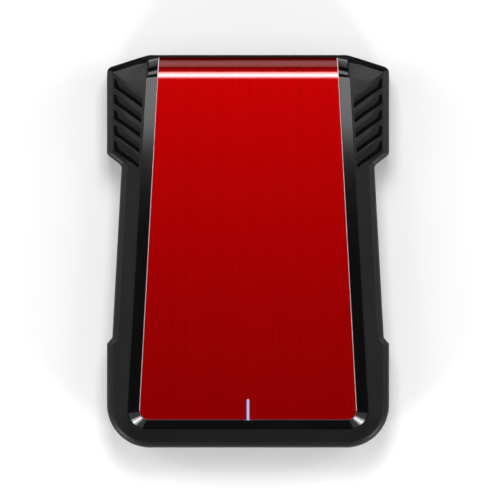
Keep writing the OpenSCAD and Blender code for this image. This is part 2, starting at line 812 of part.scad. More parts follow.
module light_pipe() {
  color("#dfe9f5") {
    block(0, led_y - pipe_stem.y / 2, pipe_foot_z, [pipe_stem.x, pipe_stem.y, shell_z - pipe_foot_z]);
    block(0, led_y - pipe_head.y / 2, shell_z - pipe_head.z, [pipe_head.x, pipe_head.y, pipe_head.z + tape_t]);
    intersection() {
      light_slot(-0.03, shell_z);
      block(0, plate_front_y + 0.05, 0, [5, light_l + 1, top_z - 0.05]);
    }
  }
}

module lid_pad() {
  color("#3a3a3c") block(0, -lid_platform.y / 2 + 1, lid_pad_z, [lid_platform.x - 2, lid_platform.y - 2, lid_pad_t]);
}

// ---- Drive ----------------------------------------------------------------------------------

// Standard places of the drive's M3 holes: half their spacing across, and from the connector end.
m3_x = 30.86;
m3_ys = [14.0, 90.6];
m3_r = 1.25;
m3_side_z = 3.0;
m3_depth = 2.4;
corner_block = 7;
cover_screw_in = 3.2;
port_w = nose_w + 1.2;
port_h = nose_h + 0.5;
drive_board_z = drive_z + drive_skin + 0.6;
drive_board_t = 1.0;
drive_board_top = drive_board_z + drive_board_t;
drive_board_x = 26.4;
drive_board_y = tongue_root_y + 2.4;
drive_board_l = 58;
cover_z = drive_top_z - drive_skin;

cover_screw_places = [
  for (sx = [-1, 1]) for (y = [drive_y + cover_screw_in, drive_end_y - cover_screw_in])
    [sx * (drive_w / 2 - cover_screw_in), y]
];

// The drive's plan, with its small corner radius.
module drive_plan() {
  r = 1.5;
  for (sx = [-1, 1]) for (y = [drive_y + r, drive_end_y - r]) translate([sx * (drive_w / 2 - r), y]) circle(r = r);
  translate([-drive_w / 2 + r, drive_y]) square([drive_w - 2 * r, drive_l]);
  translate([-drive_w / 2, drive_y + r]) square([drive_w, drive_l - 2 * r]);
}

module drive_case() {
  color("#8f9296") difference() {
    union() {
      difference() {
        translate([0, 0, drive_z]) linear_extrude(drive_h - drive_skin) drive_plan();
        block(0, drive_y + drive_wall, drive_z + drive_skin,
          [drive_w - 2 * drive_wall, drive_l - 2 * drive_wall, drive_h]);
      }
      both_sides() {
        for (y = m3_ys) block(drive_w / 2 - corner_block / 2 + 0.1 - 0.3, drive_y + y - corner_block / 2, drive_z + drive_skin - EPS,
          [corner_block - 0.4, corner_block, cover_z - drive_z - drive_skin + EPS]);
        for (x = [8, 22]) post(x, drive_board_y + drive_board_l - 4, drive_z + drive_skin - EPS, 2, 0.6 + EPS);
      }
      for (p = cover_screw_places) post(p.x, p.y, drive_z + drive_skin - EPS, 2.4, cover_z - drive_z - drive_skin + EPS);
    }
    both_sides() for (y = m3_ys) {
      post(m3_x, drive_y + y, drive_z - 1, m3_r, 1 + m3_depth);
      translate([drive_w / 2 - m3_depth, drive_y + y, drive_z + m3_side_z]) rotate([0, 90, 0]) cylinder(r = m3_r, h = 6);
    }
    for (p = cover_screw_places) post(p.x, p.y, drive_z + 2, 0.82, drive_h);
    block(plug_x, drive_y - 1, tongue_z - port_h / 2, [port_w, drive_wall + 2, port_h]);
    block(plug_x, drive_y - 1, cover_z - 0.3, [port_w, drive_wall + 2, 2]);
  }
}

module drive_cover() {
  color("#26282b") difference() {
    translate([0, 0, cover_z]) linear_extrude(drive_skin) drive_plan();
    for (p = cover_screw_places) {
      post(p.x, p.y, cover_z - 1, 0.95, 5);
      post(p.x, p.y, cover_z + drive_skin - 0.5, 1.65, 1);
    }
  }
}

module drive_cover_screws() {
  color("#b9bcc0") for (p = cover_screw_places) translate([p.x, p.y, cover_z + drive_skin - 0.5])
    rotate([180, 0, 0]) pan_screw(0.8, 3.4, 1.5, 0.45, 0.3);
}

module drive_board() {
  color("#14502c") block(0, drive_board_y, drive_board_z, [2 * drive_board_x, drive_board_l, drive_board_t]);
}

module sata_plug() {
  color("#18191b") {
    block(plug_x, tongue_root_y, tongue_z - 2.15, [40, 2.3, 4.3]);
    block(plug_x, tongue_root_y + 2.3 - EPS, drive_board_top, [40, 3.2, tongue_z + 2.15 - drive_board_top]);
    sata_tongues(tongue_tip_y, tongue_root_y + EPS, 0);
  }
}

module sata_plug_contacts() {
  color("#d2a94a") for (x = contact_xs) {
    translate([x - strip_w / 2, tongue_tip_y + 0.5, tongue_z - tongue_t / 2 - strip_t])
      cube([strip_w, tongue_root_y - tongue_tip_y - 0.5, strip_t]);
    translate([x - 0.25, tongue_root_y + 5.5, drive_board_top]) cube([0.5, 1.2, 0.2]);
  }
}

// Places on the drive's board: the middle in X, and the distance from the board's connector edge.
controller_at = [-8, 16];
controller_size = [14, 14, 1.1];
controller_pad_in = 0.5;
controller_pad_gap = 0.3;
cache_chip_at = [11, 16];
cache_chip_size = [9, 12, 1.0];
memory_x = 13;
memory_first_y = 32;
memory_pitch = 15;
memory_size = [18, 12, 1.2];

module drive_controller() {
  color("#1d1e20") chip(controller_at.x, drive_board_y + controller_at.y, drive_board_top, controller_size);
}

module controller_pad() {
  z = drive_board_top + controller_size.z;
  pad = [controller_size.x - 2 * controller_pad_in, controller_size.y - 2 * controller_pad_in, cover_z - controller_pad_gap - z];
  color("#8d9aa8") chip(controller_at.x, drive_board_y + controller_at.y, z, pad);
}

module cache_chip() {
  color("#1d1e20") chip(cache_chip_at.x, drive_board_y + cache_chip_at.y, drive_board_top, cache_chip_size);
}

memory_places = [for (row = [0, 1]) for (side = [-1, 1]) [side * memory_x, memory_first_y + row * memory_pitch]];
module memory_chip(i) {
  color("#1d1e20") chip(memory_places[i].x, drive_board_y + memory_places[i].y, drive_board_top, memory_size);
}

drive_capacitor_places = [
  for (i = [0:4]) [-22, 9 + 3 * i], for (i = [0:3]) [20, 10 + 3 * i], for (i = [0:3]) [-3 + 2 * i, 39.5]
];
module drive_capacitors() {
  color("#a98a63") for (p = drive_capacitor_places) chip(p.x, drive_board_y + p.y, drive_board_top, [1.6, 0.8, 0.8]);
}

// ---- Nodes ----------------------------------------------------------------------------------

base_tray();
surround_frame();
frame_screws();
foot(0);  // foot_front_left
foot(1);  // foot_front_right
foot(2);  // foot_rear_left
foot(3);  // foot_rear_right
bay_pad(-1);  // bay_pad_left
bay_pad(1);  // bay_pad_right
bridge_board();
board_screws();
bridge_chip();
flash_chip();
clock_crystal();
power_inductor();
board_capacitors();
board_resistors();
sata_receptacle();
sata_receptacle_contacts();
usb_shell();
usb_insulator();
usb_contacts();
activity_led();
led_leads();
lid_shell();
plate_tape();
face_plate();
light_pipe();
lid_pad();
drive_case();
drive_cover();
drive_cover_screws();
drive_board();
sata_plug();
sata_plug_contacts();
drive_controller();
controller_pad();
cache_chip();
memory_chip(0);  // memory_chip_1
memory_chip(1);  // memory_chip_2
memory_chip(2);  // memory_chip_3
memory_chip(3);  // memory_chip_4
drive_capacitors();
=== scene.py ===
"""Looks of a portable solid state drive: a black case with grip ears, and a red metal plate on a gloss lid.

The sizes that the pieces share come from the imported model, which is loaded at the top as a fixed frame.
Everything is in metres. The origin is the middle of the footprint; +Y points to the eared end, +Z is up.
"""

import math

import bmesh
import bpy
from bpy.props import FloatProperty, FloatVectorProperty, IntProperty, PointerProperty
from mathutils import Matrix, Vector


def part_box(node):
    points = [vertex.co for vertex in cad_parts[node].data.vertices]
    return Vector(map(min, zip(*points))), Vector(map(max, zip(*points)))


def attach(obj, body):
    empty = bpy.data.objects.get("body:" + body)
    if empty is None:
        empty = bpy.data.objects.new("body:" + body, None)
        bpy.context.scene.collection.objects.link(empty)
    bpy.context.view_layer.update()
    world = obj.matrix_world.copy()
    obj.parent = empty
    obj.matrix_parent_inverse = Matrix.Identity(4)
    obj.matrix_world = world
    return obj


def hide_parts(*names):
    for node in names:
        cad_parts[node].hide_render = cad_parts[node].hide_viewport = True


bl_info = {
    "name": "Portable Drive Maker",
    "version": (1, 0, 0),
    "blender": (4, 5, 0),
    "location": "View3D > Sidebar > Drive",
    "description": "Builds the shells, plate, boards and drive of a portable solid state drive",
    "category": "Add Mesh",
}

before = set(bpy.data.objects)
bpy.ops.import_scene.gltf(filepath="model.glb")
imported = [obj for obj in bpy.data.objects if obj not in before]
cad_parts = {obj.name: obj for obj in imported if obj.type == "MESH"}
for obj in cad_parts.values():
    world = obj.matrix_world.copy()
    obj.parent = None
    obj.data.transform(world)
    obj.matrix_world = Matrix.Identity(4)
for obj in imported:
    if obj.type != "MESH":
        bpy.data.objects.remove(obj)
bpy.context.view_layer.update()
MM = 0.001
SMOOTH_ANGLE = math.radians(28)
FEET = ("foot_front_left", "foot_front_right", "foot_rear_left", "foot_rear_right")


def low(node):
    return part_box(node)[0]


def high(node):
    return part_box(node)[1]


# ---- Places read from the frame ------------------------------------------------------------

END_Y = high("base_tray").y
SIDE_X = high("base_tray").x
SEAM_Z = low("surround_frame").z
DECK_Z = high("surround_frame").z
TOP_Z = high("face_plate").z
RIM_FRONT_Y = low("lid_shell").y
LID_BOTTOM_Z = low("lid_shell").z
PLATE_FRONT_Y = low("face_plate").y
PLATE_END_Y = high("face_plate").y
PLATE_END_Z = low("face_plate").z
BAY_PLAY = 0.375 * MM
BAY_X = (high("drive_case").x - low("drive_case").x) / 2 + BAY_PLAY
# The lid's rails: the gap between them and the deck and walls, and their height.
RAIL_GAP = 0.25 * MM
RAIL_HEIGHT = 2 * MM


def size_prop(name, millimetres, description):
    """A length, shown in the sidebar in the scene's own unit."""
    return FloatProperty(
        name=name, description=description, default=millimetres * MM, min=0.0, unit="LENGTH", precision=5
    )


def number_prop(name, value, description):
    return FloatProperty(name=name, description=description, default=value)


def colour_prop(name, value, description):
    return FloatVectorProperty(
        name=name, description=description, default=value, subtype="COLOR", size=3, min=0.0, max=1.0
    )


class CaseSizes(bpy.types.PropertyGroup):
    """Sizes of the outer shells."""

    ear_drop: size_prop("Ear drop", 4.8, "How far each ear's outer corner lies back from the end")
    ear_length: size_prop("Ear length", 30.5, "Length of each ear's straight outer side")
    waist_in: size_prop("Waist", 5.2, "How far the waist steps in below each ear")
    waist_run: size_prop("Waist slope", 4.1, "Length of the slope from the ear down to the waist")
    flare_in: size_prop("Flare", 1.9, "How far the waist is drawn in where it flares out again")
    flare_run: size_prop("Flare length", 2.2, "Length of that flare")
    flare_y: size_prop("Flare place", 32.8, "Distance of the flare's lower end from the middle of the case")
    corner_radius: size_prop("Corner radius", 15.2, "Radius of the two round corners at the port end")
    edge_radius: size_prop("Edge radius", 2.8, "Radius of the frame's rounded top edge")
    border_width: size_prop("Border", 7.0, "Width of the frame's sloping border")
    border_rise: size_prop("Border rise", 0.7, "Rise of the border between the rounded edge and the deck")
    wall: size_prop("Wall", 2.0, "Thickness of the frame's side walls")
    deck: size_prop("Deck", 2.15, "Thickness of the frame's deck")
    groove_pitch: size_prop("Groove spacing", 5.53, "Spacing of the grip grooves along the ear")
    groove_width: size_prop("Groove width", 2.5, "Height of a groove's open end, along the ear")
    groove_depth: size_prop("Groove depth", 1.2, "Depth of the grip grooves")
    groove_fall: number_prop("Groove fall", 0.73, "Fall of a groove for each unit inwards")
    groove_count: IntProperty(name="Grooves", description="Grip grooves in each ear", default=5, min=1, max=6)
    softness: size_prop("Edge softness", 0.14, "Radius of the moulded edges")


class LidSizes(bpy.types.PropertyGroup):
    """Sizes of the sliding lid and its plate."""

    cover: size_prop("Rim cover", 4.0, "How far the rim covers the frame beside the bay, at the middle")
    taper: number_prop("Taper", 0.0545, "Half-width lost for each unit towards the ears")
    bevel_side: size_prop("Side bevel", 4.0, "Width of the lid's bevel along the sides")
    bevel_front: size_prop("Front bevel", 3.0, "Width of the lid's bevel at the port end")
    plate_radius: size_prop("Plate corner", 3.4, "Radius of the plate's two corners")
    rim_radius: size_prop("Rim corner", 6.4, "Radius of the rim's two corners")
    bend_radius: size_prop("Bend", 8.0, "Outer radius of the bend at the eared end")
    plate: size_prop("Plate", 0.8, "Thickness of the face plate")
    tape: size_prop("Tape", 0.2, "Thickness of the tape under the plate")
    proud: size_prop("Proud", 0.3, "How far the plate stands over the bevel's top edge")
    bevel_foot: size_prop("Bevel foot", 2.9, "Depth of the bevel's foot under the face")
    rim_depth: size_prop("Rim depth", 3.2, "Depth of the lid's underside under the face")
    cut_edge: size_prop("Cut edge", 0.2, "Width of the bright cut edge round the plate")
    slot_width: size_prop("Slot width", 1.2, "Width of the light slot")
    slot_length: size_prop("Slot length", 7.4, "Length of the light slot")


class Finishes(bpy.types.PropertyGroup):
    """Colours of the finishes."""

    shell: colour_prop("Shell", (0.0045, 0.0045, 0.0047), "Moulded black of the case")
    gloss: colour_prop("Gloss lid", (0.0015, 0.0015, 0.0018), "Polished black of the lid")
    plate: colour_prop("Plate", (0.35, 0.0003, 0.0006), "Anodised red of the face plate")
    cut: colour_prop("Cut edge", (0.9, 0.74, 0.76), "Bright cut metal round the plate")
    board: colour_prop("Board", (0.008, 0.07, 0.03), "Solder mask of the boards")
    gold: colour_prop("Gold", (0.83, 0.58, 0.22), "Plating of the contacts")
    light: colour_prop("Light", (0.8, 0.86, 1.0), "Colour of the lit slot")


class Studio(bpy.types.PropertyGroup):
    """Camera and lamps."""

    view_width: size_prop("View width", 176.85, "Width that the picture spans")
    lens: number_prop("Lens", 400.0, "Focal length in millimetres")
    key: number_prop("Key", 11.7, "Radiance of the strip lamp over the eared end")
    fill: number_prop("Fill", 1.4, "Radiance of the two high side lamps")
    front: number_prop("Front", 1.0, "Radiance of the lamp at the port end")
    side: number_prop("Side", 3.8, "Radiance of the lamps beside the lid")
    corner: number_prop("Corner", 36.0, "Radiance of the lamps at the front corners")
    horizon: number_prop("Horizon", 0.7, "Radiance of the low lamp beyond the eared end")


# ---- Outlines ------------------------------------------------------------------------------


def corner_arc(before, corner, after, radius, steps):
    """The points of a round corner, as in the part's own outline."""
    u = (before - corner).normalized()
    v = (after - corner).normalized()
    half = math.acos(max(-1.0, min(1.0, u.dot(v)))) / 2
    centre = corner + (u + v).normalized() * radius / math.sin(half)
    start = corner + u * radius / math.tan(half) - centre
    end = corner + v * radius / math.tan(half) - centre
    a0 = math.atan2(start.y, start.x)
    sweep = math.atan2(end.y, end.x) - a0
    sweep = (sweep + math.pi) % (2 * math.pi) - math.pi
    turn = [a0 + sweep * k / steps for k in range(steps + 1)]
    return [centre + radius * Vector((math.cos(a), math.sin(a))) for a in turn]


def rounded_outline(corners, inset=0.0):
    """A closed outline, clockwise, from sharp corners (x, y, radius, steps), moved inwards by inset."""
    points = [Vector((c[0], c[1])) for c in corners]
    count = len(points)
    moved = []
    for i, b in enumerate(points):
        a, c = points[i - 1], points[(i + 1) % count]
        e0, e1 = (b - a).normalized(), (c - b).normalized()
        n0, n1 = Vector((e0.y, -e0.x)), Vector((e1.y, -e1.x))
        moved.append(b + inset * (n0 + n1) / (1 + n0.dot(n1)))
    ring = []
    for i, b in enumerate(moved):
        a, c = moved[i - 1], moved[(i + 1) % count]
        outer = (b - a).cross(c - b) < 0
        radius = max(corners[i][2] - inset, 0.15 * MM) if outer else corners[i][2]
        ring += corner_arc(a, b, c, radius, corners[i][3])
    return ring


def both_halves(corners):
    return corners + [(-x, y, r, n) for x, y, r, n in reversed(corners)]


def case_outline(case, inset=0.0):
    """Plan of the case, with its ears, waist and flares."""
    ear_y = END_Y - case.ear_drop
    foot_y = ear_y - case.ear_length
    right = [
        (BAY_X - 0.5 * MM, END_Y, 1.0 * MM, 4),
        (SIDE_X, ear_y, 2.4 * MM, 8),
        (SIDE_X, foot_y, 1.8 * MM, 6),
        (SIDE_X - case.waist_in, foot_y - case.waist_run, 2.0 * MM, 6),
        (SIDE_X - case.flare_in, case.flare_run - case.flare_y, 0.8 * MM, 4),
        (SIDE_X, -case.flare_y, 0.4 * MM, 3),
        (SIDE_X, -END_Y, case.corner_radius, 28),
    ]
    return rounded_outline(both_halves(right), inset)


# ---- Solids --------------------------------------------------------------------------------


def mesh_object(name, points, faces):
    mesh = bpy.data.meshes.new(name)
    mesh.from_pydata([tuple(p) for p in points], [], faces)
    mesh.validate()
    made = bpy.data.objects.new(name, mesh)
    bpy.context.scene.collection.objects.link(made)
    return made


def ring_faces(rings, count):
    """The faces between rings of count points."""
    faces = []
    for start in range(0, (rings - 1) * count, count):
        for i in range(count):
            a, b = start + i, start + (i + 1) % count
            faces.append((a, b, b + count, a + count))
    return faces


def loft(name, rings):
    """A closed solid through rings of equal point count; its ends are flat."""
    count = len(rings[0])
    last = (len(rings) - 1) * count
    sides = ring_faces(len(rings), count)
    faces = [tuple(reversed(range(count))), *sides, tuple(range(last, last + count))]
    made = mesh_object(name, [p for ring in rings for p in ring], faces)
    outward(made)
    return made


def at_height(ring, z):
    return [(p[0], p[1], z) for p in ring]


def prism(name, ring, z0, z1):
    return loft(name, [at_height(ring, z0), at_height(ring, z1)])


def rectangle(lo, hi, inset=0.0):
    x0, y0, x1, y1 = lo[0] + inset, lo[1] + inset, hi[0] - inset, hi[1] - inset
    return [(x0, y0), (x0, y1), (x1, y1), (x1, y0)]


def box_solid(name, lo, hi):
    return prism(name, rectangle(lo, hi), lo[2], hi[2])


def disc_ring(x, y, radius, steps=32):
    turn = [2 * math.pi * k / steps for k in range(steps)]
    return [(x + radius * math.cos(a), y + radius * math.sin(a)) for a in turn]


def rework(made, *steps):
    """Runs bmesh steps on an object's mesh."""
    bm = bmesh.new()
    bm.from_mesh(made.data)
    for step in steps:
        step(bm)
    bm.to_mesh(made.data)
    bm.free()


def outward(made):
    rework(made, lambda bm: bmesh.ops.recalc_face_normals(bm, faces=bm.faces))


def weld(bm):
    bmesh.ops.remove_doubles(bm, verts=bm.verts, dist=0.002 * MM)


def flatten(bm):
    """Joins faces that lie in one plane, within a material."""
    limit = {"angle_limit": math.radians(0.3), "delimit": {"MATERIAL", "UV"}}
    bmesh.ops.dissolve_limit(bm, verts=bm.verts, edges=bm.edges, **limit)


def add_step(made, kind, **settings):
    step = made.modifiers.new(kind.lower(), kind)
    for key, value in settings.items():
        setattr(step, key, value)
    return step


def bake_modifiers(made):
    """Turns an object's modifiers into plain mesh."""
    graph = bpy.context.evaluated_depsgraph_get()
    graph.update()
    mesh = bpy.data.meshes.new_from_object(made.evaluated_get(graph))
    made.modifiers.clear()
    old = made.data
    made.data = mesh
    bpy.data.meshes.remove(old)
    mesh.name = made.name


def combine(target, others, operation="DIFFERENCE"):
    """Cuts the others from the target, or joins them to it, and deletes them."""
    how = {"operation": operation, "solver": "EXACT", "material_mode": "TRANSFER"}
    for other in others:
        add_step(target, "BOOLEAN", object=other, **how)
    bake_modifiers(target)
    for other in others:
        bpy.data.objects.remove(other)


def soften(made, width):
    """Rounds the sharp edges a little and shades the rest smooth."""
    rework(made, weld, flatten)
    if width > 0:
        edges = {"limit_method": "ANGLE", "angle_limit": SMOOTH_ANGLE, "miter_outer": "MITER_ARC"}
        add_step(made, "BEVEL", width=width, segments=2, use_clamp_overlap=True, **edges)
    bake_modifiers(made)
    smooth(made)


def smooth(made):
    """Smooth shading, weighted by face area so that flat faces stay flat."""
    made.data.shade_smooth()
    made.data.set_sharp_from_angle(angle=SMOOTH_ANGLE)
    add_step(made, "WEIGHTED_NORMAL", keep_sharp=True, weight=80)
    bake_modifiers(made)


def refined_copy(node, name, width=0.0):
    """A merged, softened copy of a CAD node."""
    made = bpy.data.objects.new(name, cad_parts[node].data.copy())
    bpy.context.scene.collection.objects.link(made)
    made.data.materials.clear()
    rework(made, weld)
    soften(made, width)
    return made


# ---- Node trees ----------------------------------------------------------------------------


def labelled(inputs):
    """Input labels from keyword names."""
    return {name.replace("_", " "): value for name, value in inputs.items()}


class Nodes:
    """A node tree under construction. An input that is given a socket is linked, any other is set."""

    def __init__(self, tree):
        self.tree = tree

    def feed(self, node, inputs):
        for label, value in inputs.items():
            if isinstance(value, bpy.types.NodeSocket):
                self.tree.links.new(value, node.inputs[label])
            else:
                node.inputs[label].default_value = value

    def node(self, kind, inputs=None, **settings):
        made = self.tree.nodes.new(kind)
        for key, value in settings.items():
            setattr(made, key, value)
        self.feed(made, inputs or {})
        return made

    def maths(self, operation, *values):
        return self.node("ShaderNodeMath", dict(enumerate(values)), operation=operation).outputs[0]

    def place(self, kind="Object"):
        return self.node("ShaderNodeTexCoord").outputs[kind]

    def split(self, vector):
        return self.node("ShaderNodeSeparateXYZ", {"Vector": vector}).outputs

    def vector(self, x=0.0, y=0.0, z=0.0):
        return self.node("ShaderNodeCombineXYZ", {"X": x, "Y": y, "Z": z}).outputs["Vector"]

    def noise(self, vector, scale=1.0, detail=2.0, roughness=0.5):
        inputs = {"Vector": vector, "Scale": scale, "Detail": detail, "Roughness": roughness}
        return self.node("ShaderNodeTexNoise", inputs).outputs["Fac"]

    def spread(self, value, **ends):
        """Maps one range to another; each range is 0 to 1 where its ends aren't given."""
        return self.node("ShaderNodeMapRange", {"Value": value, **labelled(ends)}).outputs["Result"]


class Finish(Nodes):
    """One material under construction: a Principled shader and the nodes that feed it."""

    def __init__(self, name, colour, roughness, metallic=0.0, **constants):
        self.material = bpy.data.materials.new(name)
        self.material.use_nodes = True
        super().__init__(self.material.node_tree)
        self.shader = self.tree.nodes["Principled BSDF"]
        self.set(Base_Color=(*colour, 1.0), Roughness=roughness, Metallic=metallic, **constants)

    def set(self, **inputs):
        self.feed(self.shader, labelled(inputs))

    def group(self, name, **inputs):
        """The outputs of a shared group."""
        return self.node("ShaderNodeGroup", labelled(inputs), node_tree=shared_group(name)).outputs

    def ramp(self, value, *stops):
        """A colour for a 0 to 1 value; each stop is (position, colour)."""
        made = self.node("ShaderNodeValToRGB", {"Fac": value})
        elements = made.color_ramp.elements
        while len(elements) < len(stops):
            elements.new(0.5)
        for element, (place, colour) in zip(elements, stops):
            element.position = place
            element.color = (*colour, 1.0)
        return made.outputs["Color"]

    def tone(self, value, colour, low_tone, high_tone, ends=(0.3, 0.7)):
        """The colour, darker or lighter as the value changes."""
        return self.ramp(value, (ends[0], shade(colour, low_tone)), (ends[1], shade(colour, high_tone)))

    def by_height(self, z0, z1, at_z0=0.0, at_z1=1.0):
        """A value that runs from at_z0 to at_z1 between two heights of the piece."""
        height = self.split(self.place())["Z"]
        return self.spread(height, From_Min=z0, From_Max=z1, To_Min=at_z0, To_Max=at_z1)

    def relief(self, height, strength, millimetres):
        inputs = {"Strength": strength, "Distance": millimetres * MM, "Height": height}
        self.set(Normal=self.node("ShaderNodeBump", inputs).outputs["Normal"])


def new_group(name, inputs, outputs):
    """An empty shader group: its nodes, its input sockets and its end."""
    tree = bpy.data.node_groups.new(name, "ShaderNodeTree")
    for label, default in inputs.items():
        socket = tree.interface.new_socket(name=label, in_out="INPUT", socket_type="NodeSocketFloat")
        socket.default_value = default
    for label in outputs:
        tree.interface.new_socket(name=label, in_out="OUTPUT", socket_type="NodeSocketFloat")
    g = Nodes(tree)
    return g, g.node("NodeGroupInput").outputs, g.node("NodeGroupOutput")


def moulded_grain_group():
    """Fine texture of moulded plastic, and the slow change of tone over it."""
    scales = {"Grain per metre": 4000.0, "Cloud per metre": 60.0}
    g, given, result = new_group("MouldedGrain", scales, ["Grain", "Cloud"])
    place = g.place()
    for label, detail in (("Grain", 2.0), ("Cloud", 3.0)):
        g.feed(result, {label: g.noise(place, given[label + " per metre"], detail)})
    return g.tree


def brushed_streaks_group():
    """Streaks along V of the piece's own UV map: fine and broad."""
    g, given, result = new_group("BrushedStreaks", {"Across": 5200.0, "Along": 22.0}, ["Fine", "Broad"])
    place = g.split(g.place("UV"))
    for label, factor, detail in (("Fine", 1.0, 3.0), ("Broad", 0.11, 4.0)):
        x, y = (
            g.maths("MULTIPLY", place[axis], g.maths("MULTIPLY", given[scale], factor))
            for axis, scale in (("X", "Across"), ("Y", "Along"))
        )
        g.feed(result, {label: g.noise(g.vector(x, y), 1.0, detail, 0.65)})
    return g.tree


def board_pattern_group():
    """Traces and vias of a circuit board, in the plane of the board."""
    scales = {"Traces per metre": 900.0, "Vias per metre": 420.0}
    g, given, result = new_group("BoardPattern", scales, ["Trace", "Via", "Field"])
    place = g.place()
    at = g.split(place)
    cloud = g.noise(place, 130.0)
    brick = {"Mortar Size": 0.07, "Mortar Smooth": 0.25, "Brick Width": 3.3, "Row Height": 0.42}
    brick["Scale"] = given["Traces per metre"]
    rows = {"offset": 0.37, "squash": 1.7, "squash_frequency": 3}
    mix = {"Factor": g.spread(cloud, From_Min=0.49, From_Max=0.51)}
    for way, first, second in (("A", "X", "Y"), ("B", "Y", "X")):
        turned = {"Vector": g.vector(at[first], at[second])}
        mix[way] = g.node("ShaderNodeTexBrick", {**turned, **brick}, **rows).outputs["Fac"]
    trace = g.node("ShaderNodeMix", mix).outputs["Result"]
    cell = {"Vector": place, "Scale": given["Vias per metre"]}
    middle = g.node("ShaderNodeTexVoronoi", cell, voronoi_dimensions="2D").outputs["Distance"]
    via = g.spread(middle, From_Min=0.1, From_Max=0.08)
    g.feed(result, {"Trace": trace, "Via": via, "Field": cloud})
    return g.tree


GROUPS = {
    "MouldedGrain": moulded_grain_group,
    "BrushedStreaks": brushed_streaks_group,
    "BoardPattern": board_pattern_group,
}


def shared_group(name):
    return bpy.data.node_groups.get(name) or GROUPS[name]()


# ---- Materials -----------------------------------------------------------------------------

# The frame's texture is coarser below its face, between these heights.
SIDE_TEXTURE_Z = 18.0 * MM
FACE_TEXTURE_Z = 20.6 * MM
# Low on the plate's bend its red is darkened, a painted shade that fades out between the first pair of
# heights; its seal comes in between the second pair.
PAINTED_SHADE_FADE = (20.5 * MM, 23.5 * MM)
SEAL_FADE = (21.2 * MM, 23.0 * MM)
# How much of the clear seal lies on the flat of the plate, within a thin step under its face.
FLAT_SEAL = 0.2
FLAT_STEP = (TOP_Z - 0.06 * MM, TOP_Z - 0.01 * MM)


def shade(colour, factor):
    return tuple(c * factor for c in colour)


def moulded_plastic(name, colour, roughness=0.4, specular=0.27):
    """Matte black moulded plastic with a fine spark-eroded texture, coarser on its sides."""
    f = Finish(name, colour, roughness, Specular_IOR_Level=specular)
    g = f.group("MouldedGrain")
    texture = f.spread(g["Cloud"], To_Min=roughness - 0.05, To_Max=roughness + 0.05)
    coarse = f.by_height(SIDE_TEXTURE_Z, FACE_TEXTURE_Z, 0.4, 0.0)
    f.set(Base_Color=f.tone(g["Cloud"], colour, 0.85, 1.15), Roughness=f.maths("ADD", texture, coarse))
    f.relief(g["Grain"], 0.35, 0.03)
    return f.material


def gloss_plastic(name, colour, roughness=0.12):
    """Polished black plastic, with the faint unevenness of a moulded surface."""
    f = Finish(name, colour, roughness, Specular_IOR_Level=0.5)
    g = f.group("MouldedGrain", Grain_per_metre=300.0, Cloud_per_metre=45.0)
    f.set(Roughness=f.spread(g["Cloud"], To_Min=roughness * 0.8, To_Max=roughness * 1.25))
    f.relief(g["Grain"], 0.02, 0.02)
    return f.material


def anodised_red(name, colour):
    """Red anodised aluminium, brushed lengthwise, with a painted shade that darkens it low on the bend. Its
    clear seal is full round the bend only.
    """
    seal = {"Coat_Roughness": 0.05, "Coat_IOR": 1.77}
    f = Finish(name, colour, 0.3, metallic=1.0, Specular_Tint=(0.2, 0.0, 0.0, 1), **seal)
    g = f.group("BrushedStreaks")
    streak = f.maths("MULTIPLY", f.maths("ADD", g["Fine"], g["Broad"]), 0.5)
    # Painted shade: low on the bend the base colour is a darker copy of the red.
    red_and_painted_shade = {
        "A": (*shade(colour, 0.3), 1),
        "B": f.tone(streak, colour, 0.88, 1.1, (0.35, 0.65)),
        "Factor": f.by_height(*PAINTED_SHADE_FADE),
    }
    bend = f.by_height(*SEAL_FADE)
    flat = f.by_height(*FLAT_STEP, 1.0, FLAT_SEAL)
    f.set(
        Base_Color=f.node("ShaderNodeMix", red_and_painted_shade, data_type="RGBA").outputs["Result"],
        Roughness=f.spread(g["Fine"], To_Min=0.4, To_Max=0.5),
        Coat_Weight=f.maths("MULTIPLY", bend, flat),
    )
    f.relief(g["Fine"], 0.12, 0.01)
    return f.material


def cut_metal(name, colour):
    """Bright bare metal of a diamond-cut edge."""
    f = Finish(name, colour, 0.22, metallic=1.0)
    grain = f.group("MouldedGrain", Grain_per_metre=9000.0)["Grain"]
    f.set(Roughness=f.spread(grain, To_Min=0.18, To_Max=0.3))
    return f.material


def solder_mask(name, colour):
    """Solder mask over copper: the traces show as a lighter relief, the vias are tinned."""
    f = Finish(name, colour, 0.45, Specular_IOR_Level=0.25)
    g = f.group("BoardPattern")
    over = f.ramp(g["Trace"], (0.0, colour), (1.0, tuple(c * 2.4 + 0.008 for c in colour)))
    dots = {"Factor": g["Via"], "A": over, "B": (0.62, 0.6, 0.55, 1)}
    f.set(
        Base_Color=f.node("ShaderNodeMix", dots, data_type="RGBA").outputs["Result"],
        Metallic=g["Via"],
        Roughness=f.spread(g["Field"], To_Min=0.4, To_Max=0.55),
    )
    f.relief(g["Trace"], 0.4, 0.03)
    return f.material


def grained(name, colour, roughness, metallic, grain, strength, depth=0.02, spread=0.12, **constants):
    """A finish whose tone and roughness drift a little, over a fine grain."""
    f = Finish(name, colour, roughness, metallic, **constants)
    g = f.group("MouldedGrain", Grain_per_metre=grain, Cloud_per_metre=grain / 40)
    f.set(
        Base_Color=f.tone(g["Cloud"], colour, 1 - spread, 1 + spread),
        Roughness=f.spread(g["Grain"], To_Min=roughness * 0.85, To_Max=roughness * 1.15),
    )
    f.relief(g["Grain"], strength, depth)
    return f.material


def cell_foam(name, colour):
    """Open-cell foam: small pits, their floors darkened by a painted shade and the ridges between them
    lightened by a painted highlight.
    """
    f = Finish(name, colour, 0.9, Specular_IOR_Level=0.2, Sheen_Weight=0.2)
    pit = f.node("ShaderNodeTexVoronoi", {"Scale": 2600.0, "Vector": f.place()}).outputs["Distance"]
    # Painted shade in the pits and a painted highlight on the ridges between them.
    f.set(Base_Color=f.ramp(pit, (0.1, shade(colour, 0.35)), (0.55, colour), (0.9, shade(colour, 1.5))))
    f.relief(pit, 0.9, 0.12)
    return f.material


